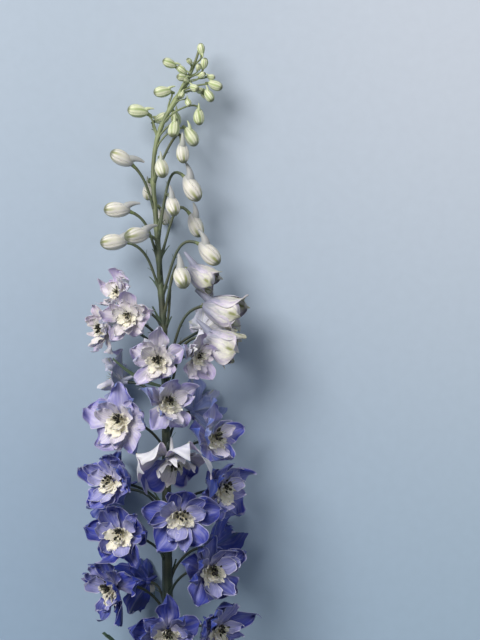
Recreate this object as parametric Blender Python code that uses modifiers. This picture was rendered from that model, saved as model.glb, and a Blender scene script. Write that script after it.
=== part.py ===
"""A cut delphinium spike, lying on a flat surface with its tip toward +Y.

The spike has one stem, which carries every pedicel, bract, leaf and small green tip bud, then the larger
white buds, then the open florets. A floret is one body of outer sepals, inner petals, a receptacle and a
spur. The cream eye in its middle is a body of its own. Sizes in the tables are in millimetres.
"""
import math
import random

import bmesh
import bpy
import numpy as np
from mathutils import Matrix, Vector

MM = 0.001

# Driving dimensions
SEAT_GAP = 0.3 * MM
BLADE_THICKNESS = 0.85 * MM
STEM_LENGTH = 573.0
STEM_RADIUS_AT_CUT = 5.0
STEM_RADIUS_AT_TIP = 1.0
LIFT_AT_CUT = 51.0
LIFT_AT_TIP = 22.0
PEDICEL_RADIUS = 1.15
TIP_PEDICEL_RADIUS = 0.8
PEDICEL_STEPS = 2
LAST_STRAIGHT = 1.6
RECEPTACLE_RADIUS = 3.4
RECEPTACLE_NECK = 1.7
RECEPTACLE_TOP = 3.0
RECEPTACLE_DEPTH = 5.0
SEPALS = 5
SEPAL_ROOT = 1.4 * MM
SEPAL_DROP = 0.8 * MM
SEPAL_REACH = 1.12
PETAL_ROOT = 1.6 * MM
PETAL_LIFT = 1.0 * MM
SPUR_LINE = ((0.0, 1.6, -0.5), (0.0, 6.2, -13.0))
SPUR_RADII = (2.0 * MM, 0.8 * MM)
EYE_RADIUS = 7.5
EYE_SIDES = 8
BUD_PLUMPNESS = 0.33
TIP_BUD_PLUMPNESS = 0.37
BELL_PLUMPNESS = 0.38
BELL_FROM = 28.0
BUD_NECK = 0.76
BUD_SWELL = 0.32
KNOB_LENGTH = 4.6
KNOB_RADII = (1.9 * MM, 1.5 * MM)
BRACT_THICKNESS = 0.8 * MM
LOBE_THICKNESS = 0.9 * MM
LOBE_SPREADS = (0, -34, 34)
LOBE_SETBACK = 1.3 * MM
LOBE_LIFT = 0.27 * MM

# How far below a bloom its pedicel leaves the stem, which for a bud is a multiple of its length
FLORET_DROP = 26.0
BUD_DROP = 31.0 / 18.0
TIP_BUD_DROP = 1.0

# The room that a bloom has
NEIGHBOUR_REACH = 75.0 * MM
STEM_CLEARANCE = 13.0 * MM
SQUASH = 2.0 * MM
LEAF_CLEARANCE = 3.0 * MM

# The stem's line seen from above: height from the cut end, and distance to the side
STEM_LINE = (
    (0, 4.0), (60, 2.5), (120, 1.5), (180, 0.8), (263, 0.0), (335, -1.6), (370, -4.0), (405, -6.4),
    (437, -8.8), (455, -10.6), (475, -11.2), (492, -9.4), (504, -6.6), (518, -1.0), (530, 7.0),
    (540, 13.5), (551, 18.5), (564, 24.0), (573, 27.5),
)

# One row for each open floret. Around is the angle round the stem, where 0 is the upper side and 90 the right.
# Turn and tilt say where the face looks: turn to the right of straight up from the surface, tilt to the tip.
# Columns: height, around, reach, width, turn, tilt, open
FLORETS = (
    (370, -62, 36, 37, -55, 30, 0.70),
    (353, -38, 41, 39, -15, 5, 0.80),
    (344, -78, 47, 41, -55, -5, 0.85),
    (319, -5, 40, 45, -5, -5, 0.90),
    (322, 44, 36, 37, 38, -5, 0.80),
    (270, -50, 43, 58, -25, 0, 1.00),
    (285, 2, 42, 50, 30, 8, 0.85),
    (255, 66, 39, 52, 45, 8, 0.92),
    (244, 8, 44, 60, 20, -58, 0.80),
    (221, -62, 46, 54, -35, 5, 1.00),
    (197, 14, 50, 60, 8, -3, 1.00),
    (181, -42, 50, 56, -18, 5, 1.00),
    (138, -56, 48, 56, -48, -8, 0.95),
    (108, 2, 46, 56, 4, -20, 0.92),
    (106, 54, 46, 56, 42, -10, 0.92),
    (215, 66, 46, 55, 46, 5, 0.95),
    (153, 42, 49, 58, 34, 0, 1.00),
    (343, 92, 32, 41, 135, 20, 0.60),
    (300, -112, 38, 48, -112, 0, 0.90),
    (275, 140, 34, 50, 135, 0, 0.90),
    (212, -122, 44, 54, -110, 0, 0.95),
    (165, 122, 43, 54, 114, 0, 0.95),
    (135, -152, 36, 54, -145, 0, 0.95),
)

# One row for each white bud. Side and front are distances from the stem line to the bud's joint. Compass is
# the way its nose points seen from above, from 0 at the tip of the spike through 90 at the right, and toward
# lifts the nose away from the surface. The longest three are opening into bells.
# Columns: height, side, front, compass, toward, length
BUDS = (
    (478, -17, 8, -62, 10, 21),
    (440, -21, 6, -88, 5, 22),
    (415, -25, 4, -94, 5, 23),
    (420, -7, 18, -98, 35, 23),
    (467, 27, 8, 152, 10, 24),
    (437, 29, -4, 158, 0, 21),
    (413, 35, 4, 138, 5, 24),
    (393, 17, 21, 165, 40, 23),
    (393, 25, 4, 125, 10, 29),
    (363, 36, 8, 108, 10, 31),
    (338, 34, 15, 116, 8, 31),
    (494, 22, 16, 175, 10, 18),
    (450, 14, 16, 165, 30, 19),
)

# The small green buds near the tip, in the same columns
TIP_BUDS = (
    (464, -4, -15, -175, -20, 16),
    (443, 4, -18, 160, -20, 16),
    (523, 3, -12, 165, -20, 14),
    (481, 6, 13, 170, 25, 18),
    (507, 22, 4, 152, 10, 17.5),
    (512, 11, 11, -170, 25, 15.5),
    (515, -8, -9, 70, -20, 14.5),
    (520, -16, 3, -80, 5, 17.5),
    (523, 24, 4, 178, 10, 14.5),
    (538, -9, 2, -96, 10, 15),
    (538, 20, 7, 150, 15, 12),
    (545, 19, 3, 115, 10, 13),
    (541, 6, 10, 120, 40, 10),
    (547, 0, 10, -78, 30, 10),
    (552, -3, 6, -50, 15, 10),
    (558, -14, 5, -65, 10, 12.5),
    (556, 9, 4, 15, 10, 10),
    (568, 3, 0, -5, 0, 10.5),
)

# Lobed leaves on the lower stem. Columns: height, around, length, width, droop
LEAVES = (
    (34, -104, 72, 21, 0.15),
    (30, 108, 60, 19, 0.15),
)


# Scene and materials
def clear_scene():
    for thing in list(bpy.data.objects):
        bpy.data.objects.remove(thing, do_unlink=True)


def new_collection(name):
    collection = bpy.data.collections.new(name)
    bpy.context.scene.collection.children.link(collection)
    return collection


def finish_material(name, colour, roughness):
    material = bpy.data.materials.new(name)
    material.use_nodes = True
    shader = material.node_tree.nodes["Principled BSDF"]
    shader.inputs["Base Color"].default_value = (*colour, 1.0)
    shader.inputs["Roughness"].default_value = roughness
    shader.inputs["Metallic"].default_value = 0.0
    return material


def blend_colour(start, end, amount):
    return tuple(a + (b - a) * amount for a, b in zip(start, end))


# Directions and places
def stem_at(height):
    """The middle of the stem at a height, in metres."""
    heights = [point[0] for point in STEM_LINE]
    sides = [point[1] for point in STEM_LINE]
    side = float(np.interp(height, heights, sides))
    lift = LIFT_AT_CUT + (LIFT_AT_TIP - LIFT_AT_CUT) * height / STEM_LENGTH
    return Vector((side, height, lift)) * MM


def stem_radius(height):
    share = min(max(height / STEM_LENGTH, 0.0), 1.0)
    return (STEM_RADIUS_AT_CUT + (STEM_RADIUS_AT_TIP - STEM_RADIUS_AT_CUT) * share ** 1.1) * MM


def outward(around):
    angle = math.radians(around)
    return Vector((math.sin(angle), 0.0, math.cos(angle)))


def facing(turn, tilt):
    turn = math.radians(turn)
    tilt = math.radians(tilt)
    return Vector((math.sin(turn) * math.cos(tilt), math.sin(tilt), math.cos(turn) * math.cos(tilt)))


def nose_direction(compass, toward):
    compass = math.radians(compass)
    toward = math.radians(toward)
    return Vector((math.sin(compass) * math.cos(toward), math.cos(compass) * math.cos(toward), math.sin(toward)))


def frame_for(forward, place):
    """A frame whose Z looks forward and whose Y keeps to the tip of the spike."""
    up = Vector((0.0, 1.0, 0.0))
    if abs(forward.dot(up)) > 0.95:
        up = Vector((0.0, 0.0, 1.0))
    side = up.cross(forward).normalized()
    up = forward.cross(side).normalized()
    turned = Matrix((side, up, forward)).transposed().to_4x4()
    turned.translation = place
    return turned


class Cell:
    """The room that a bloom has: flat walls that its petals bend away from, and never reach."""

    BEND_FROM = 6.0 * MM
    CLOSEST = 0.85 * MM
    PASSES = 6

    def __init__(self, middle):
        self.middle = middle
        self.walls = []

    def add_wall(self, normal, distance):
        self.walls.append((normal, distance))

    def press(self, point):
        """Eases a point back from each wall that it comes near, and keeps it clear of them all."""
        span = self.BEND_FROM - self.CLOSEST
        spot = point - self.middle
        limits = []
        for normal, distance in self.walls:
            inside = distance - spot.dot(normal)
            kept = self.CLOSEST + span * math.exp(min(inside - self.BEND_FROM, 0.0) / span)
            limits.append((normal, distance - kept))
        for _ in range(self.PASSES):
            for normal, limit in limits:
                spot -= normal * max(spot.dot(normal) - limit, 0.0)
        return self.middle + spot


# Bodies
def shape_from(bm, name, collection):
    mesh = bpy.data.meshes.new(name)
    bm.to_mesh(mesh)
    bm.free()
    shape = bpy.data.objects.new(name, mesh)
    collection.objects.link(shape)
    return shape


def blade(name, collection, columns, rows, place, thickness=BLADE_THICKNESS):
    """A thin blade: a grid laid out by place(across, along), split into triangles, then made solid."""
    bm = bmesh.new()
    bmesh.ops.create_grid(bm, x_segments=columns, y_segments=rows, size=0.5)
    for vertex in bm.verts:
        vertex.co = place(vertex.co.x * 2.0, vertex.co.y + 0.5)
    bmesh.ops.triangulate(bm, faces=bm.faces)
    shape = shape_from(bm, name, collection)
    wall = shape.modifiers.new("thickness", "SOLIDIFY")
    wall.thickness = thickness
    wall.offset = 0.0
    return shape


def tube(name, collection, points, radii, roundness):
    """A round tube through points, with closed ends, as a mesh."""
    curve = bpy.data.curves.new(name, "CURVE")
    curve.dimensions = "3D"
    curve.bevel_depth = 1.0
    curve.bevel_resolution = roundness
    curve.use_fill_caps = True
    spline = curve.splines.new("POLY")
    spline.points.add(len(points) - 1)
    for spot, point, radius in zip(spline.points, points, radii):
        spot.co = (*point, 1.0)
        spot.radius = radius
    guide = bpy.data.objects.new(name + "_line", curve)
    collection.objects.link(guide)
    bpy.context.view_layer.update()
    evaluated = guide.evaluated_get(bpy.context.evaluated_depsgraph_get())
    mesh = bpy.data.meshes.new_from_object(evaluated)
    bm = bmesh.new()
    bm.from_mesh(mesh)
    bmesh.ops.remove_doubles(bm, verts=bm.verts, dist=1e-6)
    bm.to_mesh(mesh)
    bm.free()
    shape = bpy.data.objects.new(name, mesh)
    shape.matrix_world = guide.matrix_world
    collection.objects.link(shape)
    bpy.data.objects.remove(guide, do_unlink=True)
    return shape


def turn_diagonal(bm, edge, pair):
    """Redraws the diagonal of the two triangles beside an edge between their other corners."""
    first, second = edge.verts
    loops = [loop for loop in pair[0].loops if loop.vert == first]
    if loops[0].link_loop_next.vert != second:
        first, second = second, first
    far, near = (next(v for v in face.verts if v not in (first, second)) for face in pair)
    for face in pair:
        bm.faces.remove(face)
    bm.faces.new((far, first, near))
    bm.faces.new((near, second, far))


def split_faces(bm):
    """Splits faces into triangles, and turns a diagonal that two faces would otherwise share."""
    source = bm.faces.layers.int.new("source")
    for index, face in enumerate(bm.faces):
        face[source] = index
    bmesh.ops.triangulate(bm, faces=bm.faces)
    for edge in [edge for edge in bm.edges if len(edge.link_faces) == 4]:
        number = edge.link_faces[0][source]
        pair = [face for face in edge.link_faces if face[source] == number]
        if len(pair) == 2:
            turn_diagonal(bm, edge, pair)


def outer_body(mesh):
    """Keeps only the largest closed body, so that scraps go and sealed pockets are filled."""
    bm = bmesh.new()
    bm.from_mesh(mesh)
    bm.verts.ensure_lookup_table()
    unseen = set(bm.verts)
    bodies = []
    while unseen:
        todo = [unseen.pop()]
        body = set(todo)
        while todo:
            for edge in todo.pop().link_edges:
                for vertex in edge.verts:
                    if vertex in unseen:
                        unseen.remove(vertex)
                        body.add(vertex)
                        todo.append(vertex)
        bodies.append(body)
    largest = max(bodies, key=len)
    loose = [vertex for vertex in bm.verts if vertex not in largest]
    bmesh.ops.delete(bm, geom=loose, context="VERTS")
    split_faces(bm)
    bm.to_mesh(mesh)
    bm.free()


def join_bodies(name, base, pieces, material, collection):
    """Joins a base and a collection of pieces into one body by one Boolean union."""
    union = base.modifiers.new("join", "BOOLEAN")
    union.operation = "UNION"
    union.operand_type = "COLLECTION"
    union.collection = pieces
    union.solver = "EXACT"
    bpy.context.view_layer.update()
    evaluated = base.evaluated_get(bpy.context.evaluated_depsgraph_get())
    mesh = bpy.data.meshes.new_from_object(evaluated)
    outer_body(mesh)
    mesh.name = name
    mesh.materials.clear()
    mesh.materials.append(material)
    mesh.shade_smooth()
    mesh.set_sharp_from_angle(angle=math.radians(40))
    body = bpy.data.objects.new(name, mesh)
    collection.objects.link(body)
    for piece in list(pieces.objects) + [base]:
        bpy.data.objects.remove(piece, do_unlink=True)
    return body


# Petals
def petal_place(angle, root, length, width, rise, curl, cup, lean, wave, phase):
    """A petal's surface in its floret's frame: across is -1 to 1, along is 0 at the root and 1 at the tip."""
    out = Vector((math.cos(angle), math.sin(angle), 0.0))
    side = Vector((-math.sin(angle), math.cos(angle), 0.0))

    def place(across, along):
        spread = 0.12 + 0.90 * math.sin(math.pi * 0.78 * along ** 1.4)
        reach = root + length * math.cos(rise) * (along - 0.12 * (across * along) ** 2)
        height = length * (math.sin(rise) * along - curl * along ** 2)
        height += cup * width * (across * along) ** 2
        height += lean * width * across * along
        height += wave * width * across * math.sin(2.0 * math.pi * along + phase)
        return out * reach + side * (across * spread * width / 2.0) + Vector((0.0, 0.0, height))

    return place


def floret_cells():
    """One cell for each floret, walled by its neighbours, the buds, the stem and the surface."""
    middles = []
    sizes = []
    for height, around, reach, width, turn, tilt, openness in FLORETS:
        place = stem_at(height) + outward(around) * reach * MM
        middles.append(place + facing(turn, tilt) * 0.14 * width * MM)
        sizes.append(0.5 * width * MM)
    for height, side, front, compass, toward, length in BUDS:
        joint = stem_at(height) + Vector((side, 0.0, front)) * MM
        middles.append(joint + nose_direction(compass, toward) * 0.4 * length * MM)
        sizes.append(0.42 * length * MM)
    cells = []
    for number, row in enumerate(FLORETS):
        cell = Cell(middles[number])
        for other, middle in enumerate(middles):
            between = middle - middles[number]
            distance = between.length
            if other != number and distance < NEIGHBOUR_REACH:
                share = sizes[number] / (sizes[number] + sizes[other])
                cell.add_wall(between.normalized(), distance * share)
        height, around = row[:2]
        away = outward(around)
        cell.add_wall(-away, (middles[number] - stem_at(height)).dot(away) - STEM_CLEARANCE)
        cell.add_wall(Vector((0.0, 0.0, -1.0)), middles[number].z + SQUASH)
        cells.append(cell)
    return cells


def receptacle_cone(frame, collection):
    """A five-sided cone, one side under each sepal, whose narrow end meets the pedicel."""
    depth = (RECEPTACLE_TOP + RECEPTACLE_DEPTH) * MM
    bm = bmesh.new()
    bmesh.ops.create_cone(
        bm, cap_ends=True, segments=SEPALS, radius1=RECEPTACLE_NECK * MM, radius2=RECEPTACLE_RADIUS * MM,
        depth=depth)
    turn = Matrix.Rotation(math.radians(54), 4, "Z")
    lift = Matrix.Translation((0.0, 0.0, (RECEPTACLE_TOP - RECEPTACLE_DEPTH) / 2.0 * MM))
    bmesh.ops.transform(bm, matrix=frame @ lift @ turn, verts=bm.verts)
    return shape_from(bm, "receptacle", collection)


def build_floret(number, row, cell, parts, material):
    height, around, reach, width, turn, tilt, openness = row
    chance = random.Random(number)
    frame = frame_for(facing(turn, tilt), stem_at(height) + outward(around) * reach * MM)
    pieces = new_collection("floret_pieces")
    half = 1.1 * width / 2.0 * MM
    sepal_rise = math.radians(16 + 40 * (1.0 - openness))
    inner_rise = 0.7 * sepal_rise + math.radians(26)
    for sepal in range(SEPALS):
        angle = math.radians(90 + 360.0 / SEPALS * sepal + chance.uniform(-3, 3))
        place = petal_place(
            angle, SEPAL_ROOT, half * SEPAL_REACH, half * chance.uniform(0.80, 0.92), sepal_rise,
            curl=chance.uniform(0.05, 0.20), cup=0.10, lean=0.21, wave=chance.uniform(0.02, 0.04),
            phase=chance.uniform(0, 6.28))
        lowered = Vector((0.0, 0.0, -SEPAL_DROP))
        blade("sepal", pieces, 2, 2, lambda u, v, p=place: cell.press(frame @ (p(u, v) + lowered)))
    inner_count = 3 if abs(around) < 90 else 2
    start = chance.uniform(-15, 15)
    for petal in range(inner_count):
        angle = math.radians(-90 + start + 360.0 / inner_count * petal)
        place = petal_place(
            angle, PETAL_ROOT, half * chance.uniform(0.60, 0.70), half * 0.56, inner_rise,
            curl=chance.uniform(-0.05, 0.05), cup=0.12, lean=0.10, wave=0.03,
            phase=chance.uniform(0, 6.28))
        raised = Vector((0.0, 0.0, PETAL_LIFT))
        blade("petal", pieces, 1, 2, lambda u, v, p=place: cell.press(frame @ (p(u, v) + raised)))
    tube("spur", pieces, [frame @ (Vector(spot) * MM) for spot in SPUR_LINE], SPUR_RADII, 0)
    receptacle = receptacle_cone(frame, parts)
    body = join_bodies(f"floret_{number:02d}", receptacle, pieces, material, parts)
    bpy.data.collections.remove(pieces)
    return body


def eye_mesh(frame, cell, scale):
    """The eye: a lobed cup on a short foot, whose rim rises in four small lobes."""
    floor = RECEPTACLE_TOP * MM + SEAT_GAP
    rings = ((0.0, 1.8, 0.0), (1.0, EYE_RADIUS, 5.6), (0.2, 2.4, 3.2))
    bm = bmesh.new()
    loops = []
    for lobed, radius, z in rings:
        loop = []
        for side in range(EYE_SIDES):
            angle = 2.0 * math.pi * (side + 0.5) / EYE_SIDES
            swell = radius * scale * (1.0 + 0.14 * lobed * (1.0 if side % 2 else -1.0))
            spot = Vector((math.cos(angle) * swell, math.sin(angle) * swell, z * scale)) * MM
            spot.z += floor
            loop.append(bm.verts.new(cell.press(frame @ spot)))
        loops.append(loop)
    for lower, upper in zip(loops, loops[1:]):
        for side in range(EYE_SIDES):
            after = (side + 1) % EYE_SIDES
            bm.faces.new((lower[side], lower[after], upper[after], upper[side]))
    bm.faces.new(list(reversed(loops[0])))
    bm.faces.new(loops[-1])
    bmesh.ops.triangulate(bm, faces=bm.faces)
    return bm


def build_eye(number, row, cell, parts, material):
    height, around, reach, width, turn, tilt, openness = row
    centre = stem_at(height) + outward(around) * reach * MM
    frame = frame_for(facing(turn, tilt), centre)
    scale = width / 52.0 * (0.55 + 0.45 * openness)
    eye = shape_from(eye_mesh(frame, cell, scale), f"eye_{number:02d}", parts)
    eye.data.materials.append(material)
    eye.data.shade_smooth()
    eye.data.set_sharp_from_angle(angle=math.radians(50))
    return eye


# Buds
def bud_body(name, collection, joint, nose, length, plump, segments, rings):
    """A pear-shaped bud of five folded sepals, with its nose away from the joint."""
    bm = bmesh.new()
    bmesh.ops.create_uvsphere(bm, u_segments=segments, v_segments=rings, radius=1.0)
    frame = frame_for(nose, joint)
    for vertex in bm.verts:
        along = (vertex.co.z + 1.0) / 2.0
        angle = math.atan2(vertex.co.y, vertex.co.x)
        girth = math.sqrt(max(0.0, 1.0 - vertex.co.z ** 2)) * (BUD_NECK + BUD_SWELL * along)
        fold = 1.0 + 0.07 * math.cos(5.0 * angle)
        radius = plump * length * girth * fold
        spot = Vector((math.cos(angle) * radius, math.sin(angle) * radius, length * (along * 0.98 - 0.06)))
        vertex.co = frame @ (spot * MM)
    return shape_from(bm, name, collection)


def bud_spur(pieces, joint, nose, arrival, length):
    """The spur, which runs back past the joint on the side away from the pedicel."""
    back = arrival - nose * arrival.dot(nose)
    back.normalize()
    root = joint + nose * 0.12 * length * MM + back * 0.14 * length * MM
    tip = joint - nose * 0.42 * length * MM + back * 0.30 * length * MM
    tube("spur", pieces, [root, tip], [0.12 * length * MM, 0.045 * length * MM], 0)


def bud_arrival(nose):
    return (nose * 0.9 + Vector((0.0, 0.5, 0.1))).normalized()


def build_bud(number, row, parts, material):
    height, side, front, compass, toward, length = row
    joint = stem_at(height) + Vector((side, 0.0, front)) * MM
    nose = nose_direction(compass, toward)
    arrival = bud_arrival(nose)
    pieces = new_collection("bud_pieces")
    bud_spur(pieces, joint, nose, arrival, length)
    knob = [joint + nose * 2.0 * MM, joint - arrival * KNOB_LENGTH * MM]
    tube("knob", pieces, knob, KNOB_RADII, 0)
    plump = BELL_PLUMPNESS if length > BELL_FROM else BUD_PLUMPNESS
    body = bud_body("bud", parts, joint, nose, length, plump, 10, 4)
    joined = join_bodies(f"bud_{number:02d}", body, pieces, material, parts)
    bpy.data.collections.remove(pieces)
    return joined


# Stem
def pedicel_line(root_height, around, joint, arrival):
    """A pedicel leaves the stem steeply, arches out, and meets its bloom squarely."""
    root = stem_at(root_height) + outward(around) * stem_radius(root_height) * 0.4
    end = joint - arrival * LAST_STRAIGHT * MM
    span = (end - root).length
    leave = (Vector((0.0, 1.0, 0.0)) * 0.93 + outward(around) * 0.37).normalized()
    first = root + leave * span * 0.42
    second = end - arrival * span * 0.34
    points = []
    for step in range(PEDICEL_STEPS + 1):
        t = step / PEDICEL_STEPS
        s = 1.0 - t
        points.append(root * s ** 3 + first * 3 * s * s * t + second * 3 * s * t * t + end * t ** 3)
    return points + [joint]


def bract(pieces, root_height, around, length, width):
    """A thin bract below a pedicel, bending away from the stem."""
    out = outward(around)
    side = Vector((0.0, 1.0, 0.0)).cross(out).normalized()
    root = stem_at(root_height) + out * stem_radius(root_height) * 0.5

    def place(across, along):
        rise = length * along * MM
        bend = length * 0.55 * along ** 1.6 * MM
        taper = width * (1.0 - 0.75 * along) / 2.0 * MM
        return root + Vector((0.0, rise * 0.8, 0.0)) + out * bend + side * across * taper

    blade("bract", pieces, 1, 2, place, BRACT_THICKNESS)


def leaf(pieces, height, around, length, width, droop):
    """A stalked leaf cut into three pointed lobes. Each starts a little lower on the stalk than the last."""
    out = outward(around)
    side = Vector((0.0, 1.0, 0.0)).cross(out).normalized()
    root = stem_at(height)
    along_axis = (Vector((0.0, 1.0, 0.0)) * 0.8 + out * 0.6).normalized()
    stalk_end = root + along_axis * 0.42 * length * MM
    tube("stalk", pieces, [root, stalk_end + along_axis * 3 * MM], [1.3 * MM, 1.0 * MM], 0)
    for order, spread in enumerate(LOBE_SPREADS):
        turned = Matrix.Rotation(math.radians(spread), 3, side.cross(along_axis))
        axis = turned @ along_axis
        across_axis = turned @ side
        normal = axis.cross(across_axis).normalized()
        start = stalk_end + (normal * LOBE_LIFT - along_axis * LOBE_SETBACK) * order
        lobe_length = length * (0.62 if spread else 0.75)

        def place(across, along):
            body = width / 2.0 * (0.16 + 0.84 * math.sin(math.pi * min(along * 0.93 + 0.05, 1.0)) ** 0.9)
            drop = droop * lobe_length * along ** 2 - 0.12 * width * abs(across)
            spot = axis * lobe_length * along * MM + across_axis * across * body * 0.7 * MM
            spot = start + spot - normal * drop * MM
            spot.z = max(spot.z, LEAF_CLEARANCE)
            return spot

        blade("lobe", pieces, 2, 2, place, LOBE_THICKNESS)


def build_stem(parts, material):
    pieces = new_collection("stem_pieces")
    for number, (height, around, reach, width, turn, tilt, openness) in enumerate(FLORETS, 1):
        look = facing(turn, tilt)
        joint = stem_at(height) + outward(around) * reach * MM - look * (RECEPTACLE_DEPTH * MM + SEAT_GAP)
        root_height = height - FLORET_DROP
        line = pedicel_line(root_height, around, joint, look)
        tube("pedicel", pieces, line, [PEDICEL_RADIUS * 1.25 * MM] + [PEDICEL_RADIUS * MM] * 3, 0)
        if number % 3 == 1:
            bract(pieces, root_height - 2, around, 15, 2.4)
    for rows, thick, drop in ((BUDS, PEDICEL_RADIUS, BUD_DROP), (TIP_BUDS, TIP_PEDICEL_RADIUS, TIP_BUD_DROP)):
        for number, (height, side, front, compass, toward, length) in enumerate(rows, 1):
            joint = stem_at(height) + Vector((side, 0.0, front)) * MM
            nose = nose_direction(compass, toward)
            arrival = bud_arrival(nose)
            around = math.degrees(math.atan2(side, front))
            root_height = min(height - drop * length, STEM_LENGTH - 4)
            end = joint - arrival * (KNOB_LENGTH * MM + SEAT_GAP)
            if rows is TIP_BUDS:
                end = joint + nose * 1.5 * MM
                bud_body("tip_bud", pieces, joint, nose, length, TIP_BUD_PLUMPNESS, 6, 4)
            line = pedicel_line(root_height, around, end, arrival)
            tube("pedicel", pieces, line, [thick * 1.2 * MM] + [thick * MM] * 3, 0)
            if rows is BUDS and number % 3 == 0:
                bract(pieces, root_height - 2, around, 11, 2.2)
    for row in LEAVES:
        leaf(pieces, *row)
    heights = [point[0] for point in STEM_LINE]
    line = [stem_at(height) for height in heights]
    stalk = tube("stalk", parts, line, [stem_radius(height) for height in heights], 1)
    body = join_bodies("stem", stalk, pieces, material, parts)
    bpy.data.collections.remove(pieces)
    return body


def settle(parts):
    """Moves the whole spike so that it rests on the surface with the origin under its middle."""
    corners = [vertex.co for thing in parts.objects for vertex in thing.data.vertices]
    low = Vector([min(corner[axis] for corner in corners) for axis in range(3)])
    high = Vector([max(corner[axis] for corner in corners) for axis in range(3)])
    shift = Vector(((low.x + high.x) / -2.0, (low.y + high.y) / -2.0, -low.z))
    for thing in parts.objects:
        thing.data.transform(Matrix.Translation(shift))


def main():
    clear_scene()
    parts = new_collection("delphinium_spike")
    green = finish_material("stem_green", (0.20, 0.30, 0.10), 0.55)
    white = finish_material("bud_white", (0.80, 0.80, 0.72), 0.55)
    cream = finish_material("eye_cream", (0.86, 0.80, 0.62), 0.6)
    pale = (0.72, 0.66, 0.84)
    deep = (0.17, 0.16, 0.58)
    build_stem(parts, green)
    for number, row in enumerate(BUDS, 1):
        build_bud(number, row, parts, white)
    cells = floret_cells()
    for number, row in enumerate(FLORETS, 1):
        depth = min(max((360.0 - row[0]) / 220.0, 0.0), 1.0)
        petal_finish = finish_material(f"petal_{number:02d}", blend_colour(pale, deep, depth), 0.5)
        build_floret(number, row, cells[number - 1], parts, petal_finish)
        build_eye(number, row, cells[number - 1], parts, cream)
    settle(parts)


main()
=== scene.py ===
# %% [markdown]
# # A cut delphinium spike, lying on a pale table
# The packed model gives nearly every bloom its place as a plain faceted solid. This lesson puts a living
# surface on each of them: thin waved petals, a frilled cream eye with dark stamens, ribbed buds and a hairy
# green stem. Nothing is moved. Each fine piece follows the same rule as the solid that it stands for.

import math
import random
from collections import namedtuple

import bpy
import numpy as np
from mathutils import Matrix


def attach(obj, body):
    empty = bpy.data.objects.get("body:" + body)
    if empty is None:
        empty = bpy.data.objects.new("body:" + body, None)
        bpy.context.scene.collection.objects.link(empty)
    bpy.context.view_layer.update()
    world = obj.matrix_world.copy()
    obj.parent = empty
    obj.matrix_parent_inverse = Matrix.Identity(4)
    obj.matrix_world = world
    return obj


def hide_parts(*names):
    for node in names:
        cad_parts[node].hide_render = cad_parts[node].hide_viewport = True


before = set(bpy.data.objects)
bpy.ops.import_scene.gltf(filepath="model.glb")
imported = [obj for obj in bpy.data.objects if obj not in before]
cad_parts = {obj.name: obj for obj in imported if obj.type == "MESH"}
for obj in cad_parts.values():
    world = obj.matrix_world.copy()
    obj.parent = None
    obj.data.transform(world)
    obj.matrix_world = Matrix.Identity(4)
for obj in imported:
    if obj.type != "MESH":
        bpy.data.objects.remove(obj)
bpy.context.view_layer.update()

# %% [markdown]
# ## Where things grow
# A delphinium carries its blooms round one stem, oldest at the bottom. One row for each bloom says how high
# it grows, how far round and out it stands, how wide it is, where it looks and how far it has opened. The
# rows hold millimetres and degrees, and heights run from the cut end toward the tip.

# %% The rows
MM = 0.001
STEM_LENGTH = 573.0
LIFT_AT_CUT = 51.0
LIFT_AT_TIP = 22.0
STEM_RADIUS_AT_CUT = 5.0
STEM_RADIUS_AT_TIP = 1.0
# Height and distance to the side
STEM_LINE = (
    (0, 4.0), (60, 2.5), (120, 1.5), (180, 0.8), (263, 0.0), (335, -1.6), (370, -4.0), (405, -6.4),
    (437, -8.8), (455, -10.6), (475, -11.2), (492, -9.4), (504, -6.6), (518, -1.0), (530, 7.0),
    (540, 13.5), (551, 18.5), (564, 24.0), (573, 27.5),
)

Floret = namedtuple("Floret", "height around reach width turn tilt openness")
FLORETS = [Floret(*row) for row in (
    (370, -62, 36, 37, -55, 30, 0.70),
    (353, -38, 41, 39, -15, 5, 0.80),
    (344, -78, 47, 41, -55, -5, 0.85),
    (319, -5, 40, 45, -5, -5, 0.90),
    (322, 44, 36, 37, 38, -5, 0.80),
    (270, -50, 43, 58, -25, 0, 1.00),
    (285, 2, 42, 50, 30, 8, 0.85),
    (255, 66, 39, 52, 45, 8, 0.92),
    (244, 8, 44, 60, 20, -58, 0.80),
    (221, -62, 46, 54, -35, 5, 1.00),
    (197, 14, 50, 60, 8, -3, 1.00),
    (181, -42, 50, 56, -18, 5, 1.00),
    (138, -56, 48, 56, -48, -8, 0.95),
    (108, 2, 46, 56, 4, -20, 0.92),
    (106, 54, 46, 56, 42, -10, 0.92),
    (215, 66, 46, 55, 46, 5, 0.95),
    (153, 42, 49, 58, 34, 0, 1.00),
    (343, 92, 32, 41, 135, 20, 0.60),
    (300, -112, 38, 48, -112, 0, 0.90),
    (275, 140, 34, 50, 135, 0, 0.90),
    (212, -122, 44, 54, -110, 0, 0.95),
    (165, 122, 43, 54, 114, 0, 0.95),
    (135, -152, 36, 54, -145, 0, 0.95),
)]

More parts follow.
